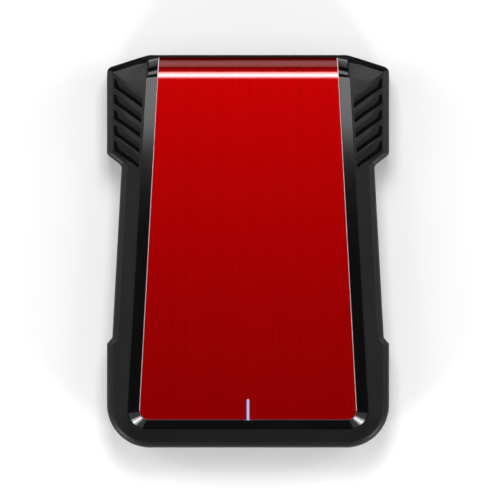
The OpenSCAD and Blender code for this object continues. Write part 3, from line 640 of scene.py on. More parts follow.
def brushed_metal(name, colour, roughness, across):
    """Bare sheet metal with a fine grain along the piece."""
    f = Finish(name, colour, roughness, 1.0)
    stretch = {"Scale": (across, across / 60, across), "Vector": f.place()}
    grain = f.noise(f.node("ShaderNodeMapping", stretch).outputs["Vector"], detail=3.0)
    f.set(
        Base_Color=f.tone(grain, colour, 0.86, 1.1),
        Roughness=f.spread(grain, To_Min=roughness * 0.8, To_Max=roughness * 1.25),
    )
    f.relief(grain, 0.15, 0.01)
    return f.material


def lit_plastic(name, colour):
    """Clear plastic, lit from below, brightest along its middle."""
    f = Finish(name, (0.06, 0.06, 0.09), 0.2, Emission_Strength=0.7)
    off = f.maths("ABSOLUTE", f.split(f.place())["X"])
    blue, deep_blue = (0.2, 0.18, 0.62), (0.14, 0.08, 0.4)
    glow = (0.0, colour), (0.3, shade(colour, 0.8)), (0.7, blue), (1.0, deep_blue)
    f.set(Emission_Color=f.ramp(f.spread(off, From_Max=0.6 * MM), *glow))
    return f.material


# Each is (colour, roughness, metallic, grains per metre, bump strength, what else differs).
GRAINED = {
    "bright_gold": (None, 0.22, 1.0, 2500, 0.05, {"spread": 0.06}),
    "chip_resin": ((0.012, 0.012, 0.013), 0.5, 0.0, 5000, 0.35, {}),
    "tinned": ((0.7, 0.69, 0.66), 0.32, 1.0, 1800, 0.15, {}),
    "zinc": ((0.6, 0.61, 0.62), 0.3, 1.0, 2400, 0.1, {}),
    "black_oxide": ((0.03, 0.03, 0.032), 0.38, 1.0, 2600, 0.15, {}),
    "connector_black": ((0.012, 0.012, 0.013), 0.42, 0.0, 2600, 0.2, {}),
    "ceramic_tan": ((0.34, 0.22, 0.13), 0.45, 0.0, 2200, 0.1, {}),
    "resistor_glaze": ((0.015, 0.015, 0.017), 0.25, 0.0, 2200, 0.05, {}),
    "ferrite": ((0.045, 0.045, 0.048), 0.6, 0.0, 2600, 0.5, {"depth": 0.05}),
    "soft_rubber": ((0.014, 0.014, 0.014), 0.75, 0.0, 1600, 0.5, {"depth": 0.05}),
    "tape_white": ((0.55, 0.54, 0.5), 0.5, 0.0, 900, 0.2, {}),
    "pink_silicone": ((0.42, 0.3, 0.3), 0.7, 0.0, 1800, 0.3, {}),
    "blasted_aluminium": ((0.56, 0.57, 0.58), 0.42, 1.0, 4200, 0.45, {}),
    "cover_paint": ((0.022, 0.023, 0.026), 0.34, 0.4, 1500, 0.12, {"depth": 0.04}),
    "milky_lens": ((0.8, 0.83, 0.88), 0.2, 0.0, 800, 0.05, {"spread": 0.03, "Transmission_Weight": 0.5}),
}


def small_finish(key):
    """One of the inner pieces' finishes, made when it is first asked for."""
    look = bpy.context.scene.drive_finish
    makers = {
        "green_board": lambda: solder_mask(key, tuple(look.board)),
        "drive_board_mask": lambda: solder_mask(key, (0.006, 0.02, 0.06)),
        "tinned_steel": lambda: brushed_metal(key, (0.66, 0.66, 0.65), 0.26, 2200.0),
        "grey_foam": lambda: cell_foam(key, (0.035, 0.035, 0.037)),
    }
    ready = bpy.data.materials.get(key)
    if ready or key in makers:
        return ready or makers[key]()
    colour, *numbers, more = GRAINED[key]
    return grained(key, colour or tuple(look.gold), *numbers, **more)


def dress(made, *materials):
    """Gives the piece these materials, in place of what it had."""
    made.data.materials.clear()
    for material in materials:
        made.data.materials.append(material)


def settle(made, body, slot, *nodes):
    """Hands a finished piece to its body, in place of the nodes that it stands for."""
    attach(made, body)
    if nodes:
        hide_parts(*nodes)


# ---- Surround frame ------------------------------------------------------------------------


def rim_half(lid, y):
    """Half-width of the lid's rim at y."""
    return BAY_X + lid.cover - lid.taper * y


def lid_front(lid, bevel, grow):
    """The lid's front and its corner radius: the rim where bevel is 0, the plate where it is 1."""
    radius = bevel * lid.plate_radius + (1 - bevel) * lid.rim_radius
    return RIM_FRONT_Y + bevel * lid.bevel_front - grow, radius + grow


def lid_plan(lid, bevel, grow=0.0):
    """Plan of the lid, as wide as its rim where bevel is 0 and as its plate where it is 1."""
    front, radius = lid_front(lid, bevel, grow)
    inset = bevel * lid.bevel_side - grow
    right = [
        (rim_half(lid, END_Y) - inset, END_Y, 0.1 * MM, 1),
        (rim_half(lid, front) - inset, front, radius, 16),
    ]
    return rounded_outline(both_halves(right))


def beyond_rim(lid, x, y):
    """How far a point of the plan lies outside the lid's rim."""
    r = lid.rim_radius
    return math.hypot(max(abs(x) - rim_half(lid, y) + r, 0), max(RIM_FRONT_Y - y + r, 0)) - r


def border_fall(case, lid, x, y, inset):
    """How far the frame's top lies under the deck. It falls away from the rim, or to the ear's edge."""
    away = case.border_width - max(inset, case.edge_radius) if y > 0 else beyond_rim(lid, x, y)
    return case.border_rise / (case.border_width - case.edge_radius) * max(away, 0)


def frame_rings(case, lid):
    """Rings of the frame's outer skin, from the seam over the round edge to the lid's rim."""
    edge = case.edge_radius
    seam = 0.25 * MM
    rings = [at_height(case_outline(case, seam), SEAM_Z), at_height(case_outline(case), SEAM_Z + seam)]
    steps = 12
    insets = [edge * (1 - math.cos(math.pi / 2 * k / steps)) for k in range(steps + 1)]
    insets += [edge + (case.border_width - edge) * k / 3 for k in (1, 2, 3)]
    for inset in insets:
        drop = edge - math.sqrt(max(edge * edge - (edge - inset) ** 2, 0)) if inset < edge else 0.0
        ring = []
        for p, q in zip(case_outline(case, inset), case_outline(case, max(inset, edge))):
            ring.append((p.x, p.y, DECK_Z - border_fall(case, lid, q.x, q.y, inset) - drop))
        rings.append(ring)
    rim = []
    for x, y, _ in rings[-1]:
        out = max(beyond_rim(lid, x, y), 0) if y <= 0 else 0
        rim.append((x - math.copysign(out, x), y, DECK_Z))
    return rings + [rim]


# The grip grooves: how far they stay from the ear's side and the lid's rim, how far the first lies
# below the ear's corner, and the width of the chamfer that leads into them.
GROOVE_MARGIN = 2.6 * MM
GROOVE_TO_RIM = 0.9 * MM
FIRST_GROOVE = 7.0 * MM
GROOVE_LEAD = 0.28 * MM


def grip_groove(case, lid, k, side):
    """One groove's cutter: an L-shaped floor, an upright lower wall and a drafted tooth above it."""
    out_x = SIDE_X - GROOVE_MARGIN
    low_y = END_Y - (case.ear_drop + FIRST_GROOVE + k * case.groove_pitch)
    fall = case.groove_fall
    reach = (out_x - rim_half(lid, low_y) - GROOVE_TO_RIM) / (1 + fall * lid.taper)

    def ring(deep, tooth, grow):
        """The opening at one depth under the ear's top; tooth is 0 at the floor and 1 at the top."""
        corner_u = (1.45 - 0.6 * tooth) * MM
        top_v = (2.9 + 0.1 * tooth) * MM
        stripe = case.groove_width + (1.55 * tooth - 0.95) * MM
        turn_u = corner_u + 0.75 * MM
        turn_v = stripe - fall * turn_u
        points = [(-grow, -grow), (-grow, top_v + grow), (corner_u, top_v + grow)]
        for t in (0.0, 0.25, 0.5, 0.75, 1.0):
            start, pull, end = (1 - t) ** 2, 2 * t * (1 - t), t * t
            u = (start + pull) * corner_u + end * turn_u
            v = start * (top_v - 0.9 * MM) + pull * (turn_v + 0.3 * MM) + end * turn_v
            points.append((u + grow * 0.6, v + grow))
        points += [(reach + grow, stripe - fall * reach + grow), (reach + grow, -fall * reach - grow)]
        ring = []
        for u, v in points:
            top = DECK_Z - border_fall(case, lid, out_x - u, low_y + v, SIDE_X - out_x + u)
            ring.append((side * (out_x - u), low_y + v, top - deep))
        return ring

    rings = [
        ring(case.groove_depth, 0.0, 0.0),
        ring(0.42 * MM, 0.08, 0.0),
        ring(0.08 * MM, 0.9, 0.05 * MM),
        ring(-0.01 * MM, 1.0, GROOVE_LEAD),
        ring(-2.0 * MM, 1.0, GROOVE_LEAD),
    ]
    cutter = loft("groove", rings)
    # The floor and upright walls carry the far darker material, painted shade in the groove; the sloped faces
    # keep the shell.
    dress(cutter, shell_material(), painted_shade_material())
    for face in cutter.data.polygons:
        sloped = len(face.vertices) <= 4 and abs(face.normal.z) > 0.2
        face.material_index = 0 if sloped else 1
    return cutter


# The line that an ear's end slope starts from, and the slope's section as (step, rise) in millimetres.
SLOPE_FROM = Vector((35.3 * MM, 65.8 * MM))
SLOPE_TO = Vector((48.9 * MM, 63.0 * MM))
SLOPE_SECTION = (0.0, 0.02), (6.0, -5.6), (6.0, 3.0), (0.0, 3.0)
SLOPE_OVERRUN = 4 * MM


def ear_end_cut(side):
    """Cuts the long slope along an ear's slanted end."""
    along = (SLOPE_TO - SLOPE_FROM).normalized()
    ahead = Vector((-along.y, along.x))
    rings = []
    for end in (SLOPE_FROM - SLOPE_OVERRUN * along, SLOPE_TO + SLOPE_OVERRUN * along):
        ring = [(end + ahead * step * MM, DECK_Z + rise * MM) for step, rise in SLOPE_SECTION]
        rings.append([(side * p.x, p.y, z) for p, z in ring])
    return loft("ear_end", rings)


def paint_shade_on_ear_ends(shell):
    """Gives the slope along each ear's slanted end the far darker material: painted shade."""
    index = shell.data.materials.find(painted_shade_material().name)
    for face in shell.data.polygons:
        n = face.normal
        if face.center.y > END_Y - 9 * MM and n.y > 0.3 and 0.12 < n.z < 0.96:
            face.material_index = index


def shell_material():
    colour = bpy.context.scene.drive_finish.shell
    return bpy.data.materials.get("matte_shell") or moulded_plastic("matte_shell", tuple(colour))


def painted_shade_material():
    """A far darker copy of the shell: painted shade for the grooves' floors and walls and the ear ends'
    slopes.
    """
    colour = shade(bpy.context.scene.drive_finish.shell, 0.2)
    return bpy.data.materials.get("groove_black") or moulded_plastic("groove_black", colour, specular=0.06)


class DRIVE_OT_surround_frame(bpy.types.Operator):
    """Build the upper shell: rounded border, deck, ears and grip grooves"""

    bl_idname = "drive.surround_frame"
    bl_label = "Surround Frame"

    def execute(self, context):
        case, lid = context.scene.drive_case, context.scene.drive_lid
        shell = loft("surround_frame_shell", frame_rings(case, lid))
        dress(shell, shell_material())

        under, below, beyond = DECK_Z - case.deck, SEAM_Z - 1 * MM, END_Y + 2 * MM
        hollow = prism("hollow", case_outline(case, case.wall), below, under)
        rebate = prism("rebate", case_outline(case, 1.1 * MM), below, SEAM_Z + 1.1 * MM)
        combine(shell, [hollow, rebate])

        slot_x, slot_y = BAY_X + 0.2 * MM, END_Y - 12 * MM
        wall_x, rail_z, post_top = BAY_X + 2.3 * MM, under - RAIL_GAP, under + 0.2 * MM
        posts = []
        for side in (-1, 1):
            x0, x1 = sorted((side * slot_x, side * (wall_x + 1.6 * MM)))
            posts.append(box_solid("ear_wall", (x0, slot_y, SEAM_Z), (x1, END_Y - 2.5 * MM, post_top)))
        for node in FEET:
            centre = (low(node) + high(node)) / 2
            posts.append(prism("post", disc_ring(centre.x, centre.y, 3.3 * MM), SEAM_Z, post_top))
        combine(shell, posts, "UNION")

        cutters = [
            box_solid("bay", (-BAY_X, RIM_FRONT_Y + 2.1 * MM, below), (BAY_X, beyond, TOP_Z)),
            prism("step", lid_plan(lid, 0, 0.3 * MM), DECK_Z - 0.7 * MM, TOP_Z),
            box_solid("slot", (-slot_x, slot_y, below), (slot_x, beyond, TOP_Z)),
            box_solid(
                "rail_groove",
                (-wall_x, slot_y - 1 * MM, rail_z - RAIL_HEIGHT - RAIL_GAP),
                (wall_x, beyond, rail_z + RAIL_GAP + 0.01 * MM),
            ),
        ]
        for side in (-1, 1):
            cutters += [grip_groove(case, lid, k, side) for k in range(case.groove_count)]
            cutters.append(ear_end_cut(side))
        combine(shell, cutters)
        paint_shade_on_ear_ends(shell)
        soften(shell, case.softness)
        settle(shell, "base", "matte_black_shell", "surround_frame")
        return {"FINISHED"}


# ---- Lid and face plate --------------------------------------------------------------------


CORNER_STEPS = 16
FLAT_STEPS = 20
BEND_STEPS = 28


def bend_axis(lid):
    """The line that the lid's face bends about."""
    return PLATE_END_Y - lid.bend_radius, TOP_Z - lid.bend_radius


def bent_stations(lid, last_z):
    """Stations along the lid's side profile, from the front corner round the bend and down to last_z.

    Each is (kind, value): a front corner's turn, a Y on the flat, a turn of the bend, or a Z on the end.
    """
    bend_y, bend_z = bend_axis(lid)
    start_y = RIM_FRONT_Y + 12 * MM
    stations = [("corner", k / CORNER_STEPS) for k in range(CORNER_STEPS + 1)]
    stations += [("flat", start_y + (bend_y - start_y) * k / FLAT_STEPS) for k in range(FLAT_STEPS)]
    stations += [("bend", math.pi / 2 * k / BEND_STEPS) for k in range(BEND_STEPS + 1)]
    return stations + [("end", bend_z + (last_z - bend_z) * k / 2) for k in (1, 2)]


def station_point(lid, station, depth, bevel, grow=0.0, least=None):
    """Where a station's right-hand point lies at a depth under the bent face."""
    kind, value = station
    inset = bevel * lid.bevel_side - grow
    if kind == "corner":
        front, radius = lid_front(lid, bevel, grow)
        corner = Vector((rim_half(lid, front) - inset, front))
        after = Vector((rim_half(lid, 0) - inset, 0.0))
        arc = corner_arc(Vector((0.0, front)), corner, after, radius, CORNER_STEPS)
        point = arc[round(value * CORNER_STEPS)]
        return Vector((point.x, point.y, TOP_Z - depth))
    bend_y, bend_z = bend_axis(lid)
    turned = {"flat": 0, "bend": math.sin(value) ** 2, "end": 1}[kind]
    if least is not None and bevel == 0:
        depth -= turned * (lid.bevel_foot - 0.9 * MM)
    reach = lid.bend_radius - depth
    y, z = {
        "flat": (value, TOP_Z - depth),
        "bend": (bend_y + reach * math.sin(value), bend_z + reach * math.cos(value)),
        "end": (bend_y + reach, value),
    }[kind]
    x = rim_half(lid, y) - inset
    if least is not None and kind != "flat":
        narrowed = min(1.0, value / math.radians(20)) if kind == "bend" else 1.0
        x += (least - x) * narrowed * narrowed * (3 - 2 * narrowed)
    return Vector((x, y, z))


def station_length(lid, station):
    """Distance along the face's profile, for the brushed pattern."""
    kind, value = station
    bend_y, bend_z = bend_axis(lid)
    return {
        "corner": RIM_FRONT_Y,
        "flat": value,
        "bend": bend_y + lid.bend_radius * value,
        "end": bend_y + lid.bend_radius * math.pi / 2 + bend_z - value,
    }[kind]


def bent_solid(name, lid, last_z, section):
    """A solid swept along the stations. Its section runs from bottom to top on one side, in rows of
    (depth, bevel, grow, least), as station_point takes them.
    """
    stations = bent_stations(lid, last_z)
    half, count = len(section), 2 * len(section)
    points, lengths = [], []
    for station in stations:
        right = [station_point(lid, station, *row) for row in section]
        points += right + [Vector((-p.x, p.y, p.z)) for p in reversed(right)]
        lengths += [station_length(lid, station)] * count
    last = (len(stations) - 1) * count
    faces = ring_faces(len(stations), count)
    for i in range(half - 1):
        faces.append((i, count - 1 - i, count - 2 - i, i + 1))
        faces.append((last + i, last + i + 1, last + count - 2 - i, last + count - 1 - i))
    made = mesh_object(name, points, faces)
    flow = made.data.uv_layers.new(name="flow")
    for loop in made.data.loops:
        p, length = made.data.vertices[loop.vertex_index].co, lengths[loop.vertex_index]
        flow.data[loop.index].uv = (p.x, p.y if length <= RIM_FRONT_Y else length)
    outward(made)
    return made


def slot_cutter(lid, grow, z0, z1):
    """Cuts the light's slot, open at the port end and round at the other."""
    half = lid.slot_width / 2
    tip_y = PLATE_FRONT_Y + lid.slot_length - half
    radius = half + grow
    ring = [(-radius, PLATE_FRONT_Y - 1 * MM), (radius, PLATE_FRONT_Y - 1 * MM)]
    for k in range(17):
        a = math.pi * k / 16
        ring.append((radius * math.cos(a), tip_y + radius * math.sin(a)))
    return prism("slot", ring, z0, z1)


def underside_parts(lid):
    """The rails that run under the frame's deck, and the frame that carries the foam pad."""
    rim_z = TOP_Z - lid.rim_depth + 0.02 * MM
    rail_x, rail_z = BAY_X - 0.3 * MM, DECK_Z - bpy.context.scene.drive_case.deck - RAIL_GAP
    web, lip, foot_z = rail_x - 1.8 * MM, rail_x + 1.9 * MM, rail_z - RAIL_HEIGHT
    profile = (web, rim_z), (rail_x, rim_z), (rail_x, rail_z), (lip, rail_z), (lip, foot_z), (web, foot_z)
    ends = RIM_FRONT_Y + 3.1 * MM, END_Y - 14 * MM
    rails = [loft("rail", [[(side * x, y, z) for x, z in profile] for y in ends]) for side in (-1, 1)]
    wall = 1.6 * MM
    outer = Vector((1 * MM, 1 * MM, 0))
    lo, hi = low("lid_pad") - outer, high("lid_pad") + outer
    ribs = box_solid("ribs", (lo.x, lo.y, hi.z), (hi.x, hi.y, rim_z))
    pockets = [
        box_solid("pocket", (lo.x + wall, y0, lo.z), (hi.x - wall, y1, TOP_Z))
        for y0, y1 in ((lo.y + wall, -wall / 2), (wall / 2, hi.y - wall))
    ]
    combine(ribs, pockets)
    return rails + [ribs]


class DRIVE_OT_lid_shell(bpy.types.Operator):
    """Build the gloss lid: a bent shell with a bevelled band, rails and ribs"""

    bl_idname = "drive.lid_shell"
    bl_label = "Lid Shell"

    def execute(self, context):
        lid = context.scene.drive_lid
        least = BAY_X + 0.2 * MM - RAIL_GAP
        face_x = least - lid.bevel_side
        seat = lid.plate + lid.tape
        section = [
            (lid.rim_depth, 0.0, 0.0, least),
            (lid.bevel_foot, 0.0, 0.0, least),
            (lid.proud, 1.0, 0.1 * MM, face_x),
            (seat, 1.0, 0.1 * MM, face_x),
        ]
        shell = bent_solid("gloss_lid_shell", lid, LID_BOTTOM_Z, section)
        ledge = box_solid(
            "ledge",
            (-face_x, PLATE_END_Y - seat - 0.1 * MM, LID_BOTTOM_Z + 0.05 * MM),
            (face_x, PLATE_END_Y - lid.proud, PLATE_END_Z - 0.1 * MM),
        )
        combine(shell, [ledge] + underside_parts(lid), "UNION")
        stem = low("light_pipe")
        way_x, way_y = 1.4 * MM, (stem.y + 0.6 * MM, stem.y + 5.8 * MM)
        combine(shell, [box_solid("way", (-way_x, way_y[0], stem.z), (way_x, way_y[1], TOP_Z))])
        soften(shell, 0.12 * MM)
        dress(shell, gloss_plastic("gloss_black", tuple(context.scene.drive_finish.gloss)))
        settle(shell, "lid", "gloss_black_lid", "lid_shell")
        return {"FINISHED"}


class DRIVE_OT_face_plate(bpy.types.Operator):
    """Build the brushed plate, with its bright cut edge (a painted shade darkens it where it faces the port
    end) and the light slot
    """

    bl_idname = "drive.face_plate"
    bl_label = "Face Plate"

    def execute(self, context):
        lid, finish = context.scene.drive_lid, context.scene.drive_finish
        cut = lid.cut_edge
        section = [(lid.plate, 1.0, 0.0), (cut, 1.0, 0.0), (0.0, 1.0, -cut)]
        plate = bent_solid("brushed_face_plate", lid, PLATE_END_Z, section)
        dress(
            plate,
            anodised_red("anodised_red", tuple(finish.plate)),
            cut_metal("cut_edge", tuple(finish.cut)),
            cut_metal("cut_edge_dull", shade(finish.cut, 0.12)),
        )
        # Where the cut edge faces the port end it gets a darker copy of the cut metal: painted shade.
        for face in plate.data.polygons:
            n = face.normal
            flat = max(abs(n.x), -n.y) if face.center.z > TOP_Z - 0.5 * MM else abs(n.x)
            if 0.35 < flat < 0.9:
                face.material_index = 2 if n.y < -0.06 else 1
        combine(plate, [slot_cutter(lid, 0.03 * MM, TOP_Z - 2 * MM, TOP_Z + 1 * MM)])
        soften(plate, 0.0)
        settle(plate, "lid", "red_brushed_metal", "face_plate")
        return {"FINISHED"}


# ---- The other pieces ----------------------------------------------------------------------


class DRIVE_OT_base_tray(bpy.types.Operator):
    """Build the lower shell"""

    bl_idname = "drive.base_tray"
    bl_label = "Base Tray"

    def execute(self, context):
        tray = refined_copy("base_tray", "base_tray_shell")
        dress(tray, shell_material())
        settle(tray, "base", "matte_black_shell", "base_tray")
        return {"FINISHED"}


def copy_as(node, name, body, slot, finish, width=0.06):
    """A softened copy of a node, in a finish, in its place. The width of its edges is in millimetres."""
    made = refined_copy(node, name, width * MM)
    dress(made, small_finish(finish))
    settle(made, body, slot, node)
    return made


def solids_of(node):
    """The boxes of a node's separate solids: (middle, size) of each."""
    bm = bmesh.new()
    bm.from_mesh(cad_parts[node].data)
    weld(bm)
    seen, boxes = set(), []
    for start in bm.verts:
        if start in seen:
            continue
        island, rest = [], [start]
        seen.add(start)
        while rest:
            vert = rest.pop()
            island.append(vert.co.copy())
            for edge in vert.link_edges:
                other = edge.other_vert(vert)
                if other not in seen:
                    seen.add(other)
                    rest.append(other)
        lo, hi = (Vector([pick(p[i] for p in island) for i in range(3)]) for pick in (min, max))
        boxes.append(((lo + hi) / 2, hi - lo))
    bm.free()
    return sorted(boxes, key=lambda b: tuple(round(c, 6) for c in b[0]))


# ---- Geometry Nodes for what repeats -------------------------------------------------------


class Wiring(Nodes):
    """A Geometry Nodes tree under construction, from points to solids. Its own inputs are numbers,
    or materials where they start as None.
    """

    def __init__(self, name, **inputs):
        super().__init__(bpy.data.node_groups.new(name, "GeometryNodeTree"))
        sockets = self.tree.interface.new_socket
        sockets(name="Points", in_out="INPUT", socket_type="NodeSocketGeometry")
        for label, value in labelled(inputs).items():
            kind = "Material" if value is None else "Float"
            socket = sockets(name=label, in_out="INPUT", socket_type="NodeSocket" + kind)
            if value is not None:
                socket.default_value = value
        sockets(name="Solid", in_out="OUTPUT", socket_type="NodeSocketGeometry")
        self.given = self.node("NodeGroupInput").outputs

    def made(self, kind, inputs, **settings):
        """The first output of a geometry node."""
        return self.node("GeometryNode" + kind, inputs, **settings).outputs[0]

    def moved(self, geometry, **offset):
        return self.made("Transform", {"Geometry": geometry, "Translation": self.vector(**offset)})

    def several(self, kind, label, pieces, inputs=None, **settings):
        """A geometry node with several links into one input."""
        node = self.node("GeometryNode" + kind, inputs, **settings)
        for piece in pieces:
            self.tree.links.new(piece, node.inputs[label])
        return node.outputs[0]

    def attribute(self, name, kind="FLOAT_VECTOR"):
        return self.made("InputNamedAttribute", {"Name": name}, data_type=kind)

    def finish(self, solid, *materials, **inputs):
        """Puts the solid on every point, then each (material input, selection) on it in turn."""
        places = {"Points": self.given["Points"], "Rotation": self.attribute("turn"), **inputs}
        placed = self.made("InstanceOnPoints", {"Instance": solid, **places})
        out = self.made("RealizeInstances", {"Geometry": placed})
        for label, selection in materials:
            out = self.made("SetMaterial", {"Geometry": out, "Material": self.given[label], **selection})
        self.node("NodeGroupOutput", {"Solid": out})
        return self.tree


def screw_tree():
    """A pan-head screw with a cross recess at each point; the point is the top of the head."""
    w = Wiring(
        "CrossHeadScrews",
        Head_radius=1.9 * MM,
        Head_height=1.2 * MM,
        Shank_radius=1.0 * MM,
        Shank_length=4.0 * MM,
        Metal=None,
    )
    r, h = w.given["Head radius"], w.given["Head height"]
    shank_r, shank_l = w.given["Shank radius"], w.given["Shank length"]
    half, crown_r = w.maths("MULTIPLY", h, 0.5), w.maths("MULTIPLY", r, 0.72)
    deep, half_deep = w.maths("MULTIPLY", h, -1.0), w.maths("MULTIPLY", h, -0.5)
    parts = []
    for sides, top, bottom, depth, z in (
        (32, r, r, half, deep),
        (32, crown_r, r, half, half_deep),
        (20, shank_r, shank_r, shank_l, w.maths("SUBTRACT", deep, shank_l)),
    ):
        sizes = {"Vertices": sides, "Radius Top": top, "Radius Bottom": bottom, "Depth": depth}
        parts.append(w.moved(w.made("MeshCone", sizes), z=z))
    solid = w.several("JoinGeometry", "Geometry", parts)
    reach, arm, tall = (w.maths("MULTIPLY", size, share) for size, share in ((r, 1.05), (r, 0.24), (h, 1.2)))
    bars = [w.made("MeshCube", {"Size": w.vector(a, b, tall)}) for a, b in ((reach, arm), (arm, reach))]
    cut = {"operation": "DIFFERENCE", "solver": "EXACT"}
    return w.finish(w.several("MeshBoolean", "Mesh 2", bars, {"Mesh 1": solid}, **cut), ("Metal", {}))


def end_cap_tree():
    """A small block with metal end caps at each point, scaled by the point's own size."""
    w = Wiring("EndCapBlocks", Cap_share=0.22, Body=None, Caps=None)
    share = w.given["Cap share"]
    body = w.made("MeshCube", {"Size": (0.9, 0.92, 0.95)})
    cap = w.made("MeshCube", {"Size": w.vector(share, 1.0, 1.0)})
    marked = {"Geometry": cap, "Name": "cap", "Value": True}
    cap = w.made("StoreNamedAttribute", marked, data_type="BOOLEAN", domain="FACE")
    off = w.maths("SUBTRACT", 0.5, w.maths("MULTIPLY", share, 0.5))
    caps = [w.moved(cap, x=off), w.moved(cap, x=w.maths("MULTIPLY", off, -1.0))]
    block = w.several("JoinGeometry", "Geometry", [body, *caps])
    on_caps = {"Selection": w.attribute("cap", "BOOLEAN")}
    return w.finish(block, ("Body", {}), ("Caps", on_caps), Scale=w.attribute("size"))


TREES = {"CrossHeadScrews": screw_tree, "EndCapBlocks": end_cap_tree}


def spread_on(name, tree_name, places, values):
    """Runs a tree on the places (point, turn about Z, size) and keeps its result as a plain mesh."""
    tree = bpy.data.node_groups.get(tree_name) or TREES[tree_name]()
    made = mesh_object(name, [p for p, _, _ in places], [])
    rows = {"turn": [(0.0, 0.0, t) for _, t, _ in places], "size": [s for _, _, s in places]}
    for label, vectors in rows.items():
        attribute = made.data.attributes.new(label, "FLOAT_VECTOR", "POINT")
        attribute.data.foreach_set("vector", [c for vector in vectors for c in vector])
    step = made.modifiers.new("spread", "NODES")
    step.node_group = tree
    for item in tree.interface.items_tree:
        if item.item_type == "SOCKET" and item.in_out == "INPUT" and item.name in values:
            step[item.identifier] = values[item.name]
    made.update_tag()
    bake_modifiers(made)
    return made


class DRIVE_OT_screws(bpy.types.Operator):
    """Build the three kinds of cross-head screw"""

    bl_idname = "drive.screws"
    bl_label = "Screws"

    def execute(self, context):
        for node, body, slot, finish, head_h, shank, up in (
            ("frame_screws", "base", "black_screws", "black_oxide", 2.2, 1.3, -1),
            ("board_screws", "base", "zinc_screws", "zinc", 1.2, 1.0, 1),
            ("drive_cover_screws", "drive", "zinc_screws", "zinc", 0.8, 0.8, 1),
        ):
            boxes = solids_of(node)
            places = [
                (middle + Vector((0, 0, size.z / 2 * up)), 0.35 + 0.5 * k, (1, 1, 1))
                for k, (middle, size) in enumerate(boxes)
            ]
            size = boxes[-1][1]
            sizes = {
                "Head radius": size.x / 2 * 0.999,
                "Head height": head_h * MM,
                "Shank radius": shank * MM,
                "Shank length": size.z - head_h * MM,
                "Metal": small_finish(finish),
            }
            made = spread_on(node + "_cross_head", "CrossHeadScrews", places, sizes)
            if up < 0:
                for vert in made.data.vertices:
                    vert.co.z = 2 * places[0][0].z - vert.co.z
                made.data.flip_normals()
            smooth(made)
            settle(made, body, slot, node)
        return {"FINISHED"}


class DRIVE_OT_small_parts(bpy.types.Operator):
    """Build the capacitors and resistors with their tinned end caps"""

    bl_idname = "drive.small_parts"
    bl_label = "Capacitors and Resistors"

    def execute(self, context):
        for node, body, slot, finish, share in (
            ("board_capacitors", "base", "capacitor_ceramic", "ceramic_tan", 0.24),
            ("board_resistors", "base", "resistor_black", "resistor_glaze", 0.2),
            ("drive_capacitors", "drive", "capacitor_ceramic", "ceramic_tan", 0.24),
        ):
            places = []
            for middle, size in solids_of(node):
                turn = math.pi / 2 if size.y > size.x else 0.0
                places.append((middle, turn, (max(size.x, size.y), min(size.x, size.y), size.z)))
            looks = {"Cap share": share, "Body": small_finish(finish), "Caps": small_finish("tinned")}
            made = spread_on(node + "_end_caps", "EndCapBlocks", places, looks)
            settle(made, body, slot, node)
        return {"FINISHED"}


class DRIVE_OT_bridge_board(bpy.types.Operator):
    """Build the bridge board with its chips, ports, crystal, inductor and light"""

    bl_idname = "drive.bridge_board"
    bl_label = "Bridge Board"

    def execute(self, context):
        board = copy_as("bridge_board", "bridge_board_mask", "base", "circuit_board", "green_board", 0.0)
        plate_screw_holes(board)
        chip_package("bridge_chip", "base")
        flash = refined_copy("flash_chip", "flash_chip_package", 0.03 * MM)
        dress(flash, small_finish("chip_resin"), small_finish("tinned"))
        lo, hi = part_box("flash_chip")
        for face in flash.data.polygons:
            edge = min(face.center.y - lo.y, hi.y - face.center.y)
            face.material_index = 1 if edge < 0.93 * MM else 0
        settle(flash, "base", "chip_package", "flash_chip")
        for node, name, slot, finish, width in (
            ("clock_crystal", "clock_crystal_can", "plated_steel", "tinned_steel", 0.12),
            ("power_inductor", "power_inductor_block", "inductor_core", "ferrite", 0.2),
            ("sata_receptacle", "sata_receptacle_housing", "connector_plastic", "connector_black", 0.08),
            ("usb_shell", "usb_shell_folded", "plated_steel", "tinned_steel", 0.05),
            ("usb_insulator", "usb_tongue", "connector_plastic", "connector_black", 0.04),
            ("activity_led", "activity_light_lens", "clear_light_guide", "milky_lens", 0.0),
        ):
            copy_as(node, name, "base", slot, finish, width)
        for node in ("sata_receptacle_contacts", "usb_contacts"):
            finish_node(node, "bright_gold")
        finish_node("led_leads", "tinned")
        return {"FINISHED"}


def finish_node(node, finish):
    """Gives a CAD node that is shown as it is its finish."""
    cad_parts[node].material_slots[0].material = small_finish(finish)


def plate_screw_holes(board):
    """Gold-plates the walls of the board's two screw holes."""
    board.data.materials.append(small_finish("bright_gold"))
    for face in board.data.polygons:
        x = abs(face.center.x)
        if abs(face.normal.z) < 0.5 and x < 31 * MM and abs(x - 29.5 * MM) < 2.2 * MM:
            face.material_index = 1


def chip_package(node, body):
    """A moulded chip: softened edges, a parting step and a round mark at its first pin."""
    lo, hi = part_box(node)
    size = hi - lo
    step = 0.06 * MM
    levels = (0.0, 0.0), (0.45, 0.0), (0.5, step), (1.0, step * 1.6)
    rings = [at_height(rectangle(lo, hi, inset), lo.z + size.z * share) for share, inset in levels]
    chip = loft(node + "_package", rings)
    reach = min(size.x, size.y)
    mark = disc_ring(lo.x + reach * 0.14, hi.y - reach * 0.14, reach * 0.05, 24)
    combine(chip, [prism("mark", mark, hi.z - 0.05 * MM, hi.z + 1 * MM)])
    soften(chip, 0.05 * MM)
    dress(chip, small_finish("chip_resin"))
    settle(chip, body, "chip_package", node)


